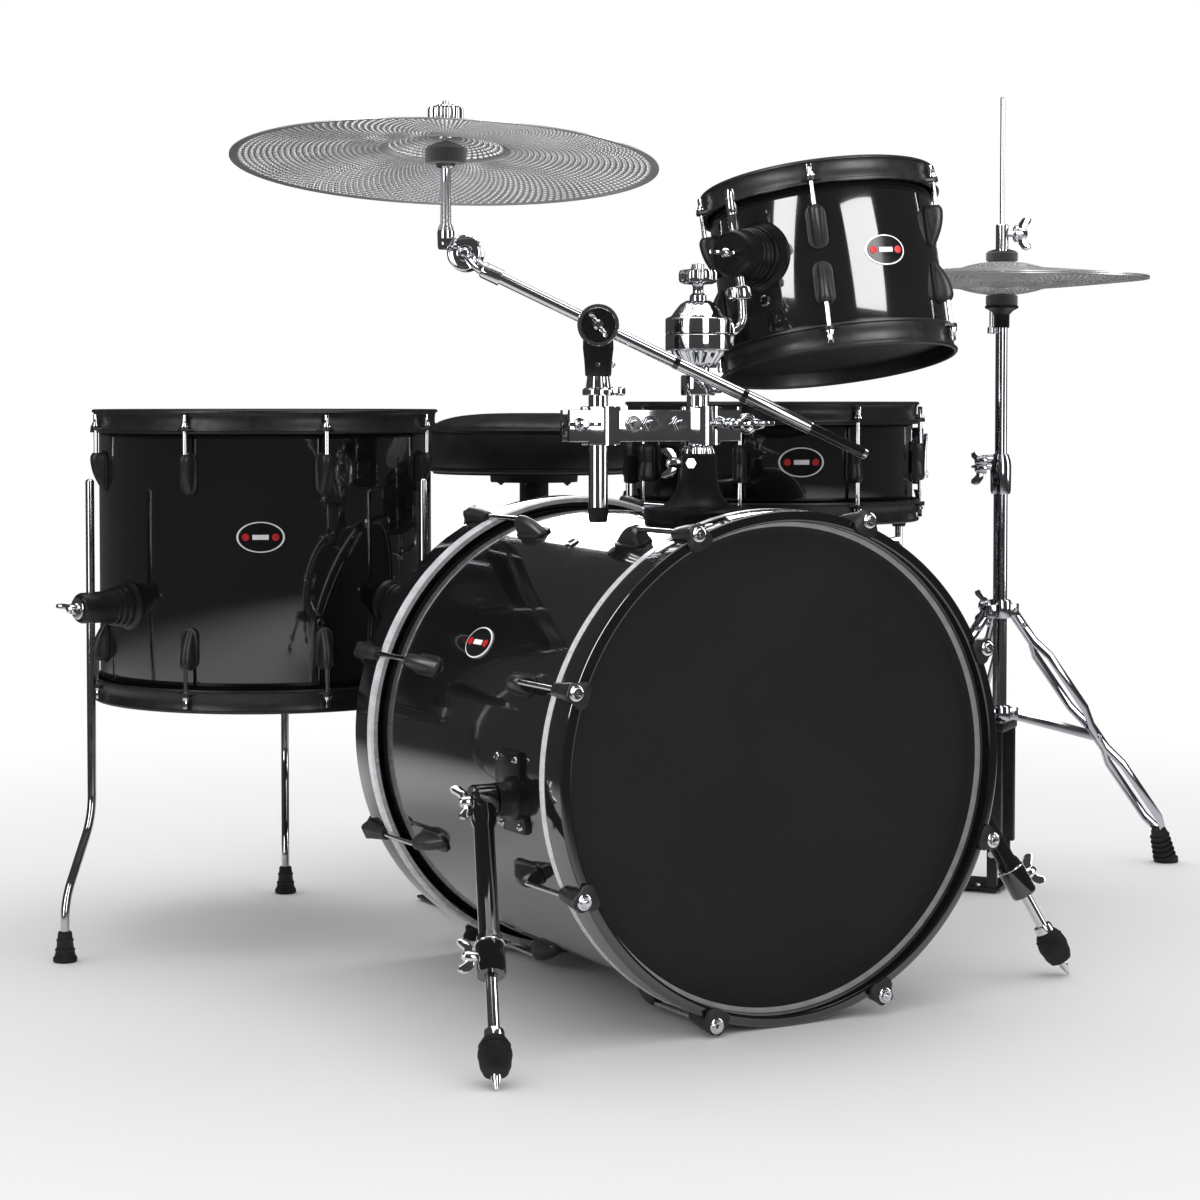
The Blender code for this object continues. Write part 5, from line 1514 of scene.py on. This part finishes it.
def seat():
    """Round cushion: a board, a piped lower edge, an upright boxing and a crowned top."""
    low, top, wide = 0.5465, 0.6290, 0.1490
    at = moved(THRONE)
    board = Shape()
    board.turned(mm((0, -12.5), (60, -12.5), (61, -0.5), y=low) + mm((-10, -0.5), (-9, 4), x=wide, y=low) +
                 mm((0, 4), y=low), at, 96)
    for k in range(4):
        spot = at @ turn_z(radians(45 + 90 * k)) @ shift(0.048, 0, low - 0.0122) @ FLIPPED
        board.bolt(spot, 0.0050, 0.0030)
    board.piece("throne_seat_board", "pressed", "throne_seat")
    cushion = Shape()
    profile = mm((0, 1), y=low) + mm((-14, 1), (-8, 2), x=wide, y=low)
    for i in range(13):
        t = i / 12
        profile.append((wide - 0.0070 + 0.0062 * sin(pi * t) ** 0.7, low + 0.006 + 0.052 * t))
    for i in range(1, 17):
        t = i / 16
        spread = (wide - 0.0080) * cos(t * pi / 2) ** 0.62
        profile.append((max(spread, 0), low + 0.0600 + (top - low - 0.0600) * sin(t * pi / 2)))
    profile[-1] = (0, top)
    cushion.turned(profile, at, 128)
    for vert in cushion.bm.verts:
        out = vert.co - THRONE
        turn = atan2(out.y, out.x)
        flat = hypot(out.x, out.y)
        if 0.03 < flat:
            pucker = 0.00035 * sin(turn * 22 + 3 * sin(turn * 3)) + 0.0006 * sin(turn * 5 + 1.0)
            vert.co.z += pucker * (flat / wide) ** 2 * (1 if out.z > low + 0.050 else 0)
    pad = cushion.piece("throne_cushion", "vinyl", "throne_seat", ["throne_seat"], 60)
    piping = Shape()
    for z, radius in ((low + 0.0052, wide - 0.0062), (low + 0.0590, wide - 0.0066)):
        piping.ring(at @ shift(0, 0, z), radius, 0.0026, 128, 12)
    for k in range(150):
        spot = at @ turn_z(2 * pi * k / 150) @ shift(wide - 0.0052, 0, low + 0.0545)
        piping.block((0.0011, 0.0042, 0.0009), spot, 0.0003)
    piping.piece("throne_piping", "vinyl", "throne_seat")


def kick_pedal():
    axle_y, axle_z = KICK_AXLE.y, KICK_AXLE.z
    frame_parts, bright = Shape(), Shape()
    plate = mm((-45, 508), (45, 508), (48, 530), (48, 590), (30, 640), (30, 740), (40, 780), (40, 824),
               (-40, 824), (-40, 780), (-30, 740), (-30, 640), (-48, 590), (-48, 530))
    frame_parts.outline(plate, 0.0045, shift(0, 0, 0.0045), 0.0015)
    for side in (-1, 1):
        sections = []
        for z, deep in ((0.002, 0.015), (0.030, 0.013), (0.110, 0.0085), (0.180, 0.0095), (0.205, 0.0115),
                        (0.222, 0.0090), (0.2265, 0.004)):
            sections.append([Vector((side * 0.050 + x * 0.0046, axle_y + y * deep, z)) for x,
                             y in ((-1, -0.8), (-0.7, -1), (0.7, -1), (1, -0.8), (1, 0.8), (0.7, 1),
                                   (-0.7, 1), (-1, 0.8))])
        frame_parts.loft(sections)
        bright.rod((side * 0.0538, axle_y, axle_z), (side * 0.0590, axle_y, axle_z), 0.0080, 28)
        bright.hexagon(between((side * 0.0590, axle_y, axle_z), (side, axle_y, axle_z)), 0.0052, 0.0035)
    frame_parts.block((0.074, 0.030, 0.020), shift(0, KICK_HEEL_Y, 0.0155), 0.004)
    frame_parts.block((0.070, 0.014, 0.016), shift(0, 0.512, 0.014), 0.003)
    frame_parts.piece("kick_frame", "black", "kit", ["kick_pedal_frame"])
    bright.wing(axes(Vector((-0.047, 0.530, 0.010)), (0, 1, 0), (-1, 0, 0.2)), 0.034, 0.0056)
    bright.piece("kick_frame_fittings", "chrome", "kit")
    heel, toe = Vector((0, KICK_HEEL_Y - 0.020, 0.034)), Vector((0, axle_y + 0.012, 0.118))
    footboard("kick_board", heel, toe, 0.076, "kick_footboard", ["kick_footboard"])


def kick_beater():
    axle = KICK_AXLE
    lean = Vector((0, sin(BEATER_LEAN), cos(BEATER_LEAN)))
    ahead = Vector((0, lean.z, -lean.y))
    beater = Shape()
    beater.rod(axle - Vector((0.0440, 0, 0)), axle + Vector((0.0440, 0, 0)), 0.0060, 32)
    beater.turned(mm((4, -9), (17.5, -9), (19, -7), (19, 7), (17.5, 9), (4, 9)),
                  between(axle, axle + Vector((1, 0, 0))), 40)
    beater.rod(axle, axle + lean * 0.185, 0.0038, 24)
    hub = axle + lean * 0.020
    beater.block((0.016, 0.016, 0.024), axes(hub, (1, 0, 0), lean), 0.003)
    beater.bolt(axes(hub + Vector((0.008, 0, 0)), lean, (1, 0, 0)), 0.0040, 0.0050)
    beater.piece("kick_beater_shaft", "chrome", "kick_beater", ["kick_beater"])
    mallet = Shape()
    half = 0.0258
    profile = mm((0, 0), (21.5, 0), (24.2, 3.5), (25, 10), y=-half) + mm((25, -10), (24.2, -3.5),
                                                                         (21.5, 0), (0, 0), y=half)
    mallet.turned(profile, between(axle + lean * 0.170, axle + lean * 0.170 + ahead), 56)
    mallet.piece("kick_mallet", "felt", "kick_beater")
    strap = Shape()
    for k in range(9):
        point = axle + Vector((0, 0.017 + 0.0011 * k, -0.004 - 0.0095 * k))
        strap.outline(obround(0.0074, 0.0128, 6), 0.0036, moved(point) @ UPRIGHT, 0.0009)
    strap.piece("kick_chain", "chrome", "kick_footboard")


# Studio

WORLD_MIRRORED = 0.06  # strength of the white world in mirror reflections
FLOOR_NEAR, FLOOR_FAR = 0.85, 2.1  # the floor fades to white between these distances
CAMERA_PLACE = Vector((-1.7216, -2.8681, 0.6476))
CAMERA_DIP, CAMERA_YAW = radians(2.149), radians(-28.90)
CAMERA_LENS, CAMERA_SENSOR, CAMERA_SHIFT = 80.35, 36, -0.0833
TOM_LIGHT_HEIGHT = 2.9


def softbox(name, place, size, power, aim=(0.0, 0.0, 0.5), only=None):
    """A rectangular light; only names the looks, or the pieces, that it falls on."""
    light = bpy.data.lights.new(name, "AREA")
    light.shape = "RECTANGLE"
    light.size, light.size_y = size
    light.energy = power
    box = bpy.data.objects.new(name, light)
    box.location = place
    box.rotation_euler = (Vector(aim) - Vector(place)).to_track_quat("-Z", "Y").to_euler()
    box.visible_camera = False
    bpy.context.scene.collection.objects.link(box)
    if only:
        lit = bpy.data.collections.new(name)
        for piece in bpy.data.objects:
            if piece.type == "MESH" and not piece.hide_render and only(piece):
                lit.objects.link(piece)
        box.light_linking.receiver_collection = lit
    return box


def around(centre, azimuth, distance, height):
    return polar(centre, distance, radians(azimuth), height)


def has_look(piece, names):
    return any(material and material.name in names for material in piece.data.materials)


def is_metal(piece):
    return has_look(piece, ("chrome", "tube_chrome", "cymbal_steel", "snare_wire"))


def is_bass(piece):
    return piece.name.startswith("bass")


def is_rack_tom(piece):
    return "rack_tom" in piece.name


def is_satin(piece):
    return has_look(piece, ("satin_black", "black_film"))


def studio_world():
    """White all round for the eye and for soft light, and dim in mirror reflections."""
    world = bpy.data.worlds.new("studio")
    world.use_nodes = True
    bpy.context.scene.world = world
    tree = world.node_tree
    background = tree.nodes["Background"]
    background.inputs["Color"].default_value = (1, 1, 1, 1)
    path = tree.nodes.new("ShaderNodeLightPath")
    level = tree.nodes.new("ShaderNodeMapRange")
    level.inputs["To Min"].default_value = 1.0
    level.inputs["To Max"].default_value = WORLD_MIRRORED
    tree.links.new(path.outputs["Is Glossy Ray"], level.inputs["Value"])
    tree.links.new(level.outputs["Result"], background.inputs["Strength"])


def studio_floor():
    bpy.ops.mesh.primitive_circle_add(vertices=128, radius=30, fill_type="NGON")
    ground = bpy.context.object
    ground.name = "floor"
    look = Look("studio_floor", (0.80, 0.80, 0.805), 0.6)
    look.vary_colour(0.8, (0.82, 0.82, 0.825))
    away = look.node("ShaderNodeVectorMath", operation="LENGTH")
    look.link(look.coords.outputs["Object"], away.inputs[0])
    fade = look.node("ShaderNodeMapRange", interpolation_type="SMOOTHSTEP")
    fade.inputs["From Min"].default_value = FLOOR_NEAR
    fade.inputs["From Max"].default_value = FLOOR_FAR
    look.link(away.outputs["Value"], fade.inputs["Value"])
    white = look.node("ShaderNodeEmission", Strength=1.0)
    dark = look.node("ShaderNodeEmission", Strength=WORLD_MIRRORED)
    path = look.node("ShaderNodeLightPath")
    far = look.node("ShaderNodeMixShader")
    look.link(path.outputs["Is Glossy Ray"], far.inputs[0])
    look.link(white.outputs[0], far.inputs[1])
    look.link(dark.outputs[0], far.inputs[2])
    blend = look.node("ShaderNodeMixShader")
    look.link(fade.outputs["Result"], blend.inputs[0])
    look.link(look.shader.outputs[0], blend.inputs[1])
    look.link(far.outputs[0], blend.inputs[2])
    look.link(blend.outputs[0], look.tree.nodes["Material Output"].inputs["Surface"])
    ground.data.materials.append(look.material)


def studio_camera():
    camera = bpy.data.cameras.new("camera")
    camera.lens = CAMERA_LENS
    camera.sensor_width = CAMERA_SENSOR
    camera.shift_y = CAMERA_SHIFT
    camera.clip_end = 200
    eye = bpy.data.objects.new("camera", camera)
    eye.location = CAMERA_PLACE
    eye.rotation_euler = (pi / 2 - CAMERA_DIP, 0, CAMERA_YAW)
    bpy.context.scene.collection.objects.link(eye)
    bpy.context.scene.camera = eye


def studio_lights():
    tom = TOM_PLACE.translation + KIT
    softbox("bass_left", (-2.6, 0.4, 2.2), (1.0, 2.6), 90, only=is_bass)
    softbox("top", (0.2, 0.3, 3.2), (3.0, 2.0), 40)
    for name, azimuth, width in (("tom_left", 190.5, 1.2), ("tom_front", 276, 1.9)):
        place = around(tom, azimuth, 3.0, 1.9)
        size = (width, TOM_LIGHT_HEIGHT)
        softbox(name, place, size, 25 * width * TOM_LIGHT_HEIGHT, tom, is_rack_tom)
        softbox(name + "_satin", place, size, 11 * width * TOM_LIGHT_HEIGHT, tom, is_satin)
    softbox("bass_behind", (1.3, 2.9, 1.4), (1.7, 1.8), 70, only=is_bass)
    for name, place, size, power in (("left", (-3.0, -1.2, 1.6), (1.0, 3.0), 48),
                                     ("front", (-0.4, -3.6, 1.8), (1.2, 3.0), 44),
                                     ("right", (2.6, -1.6, 1.6), (1.0, 3.0), 48),
                                     ("top", (0.0, 0.0, 3.0), (3.0, 2.4), 40)):
        softbox("metal_" + name, place, size, power, only=is_metal)


bass_drum()
spurs()
mount_base()
holder_post()
clamp()
boom_post()
boom_tilter()
boom_rod()
crash_stand()
rack_tom()
l_rod()
floor_tom()
snare()
snare_stand()
hi_hat_stand()
hi_hat_upper()
hi_hat_pull()
hi_hat_footboard()
throne()
kick_pedal()
kick_beater()
studio_world()
studio_floor()
studio_camera()
studio_lights()
bpy.context.scene.view_settings.view_transform = "Standard"
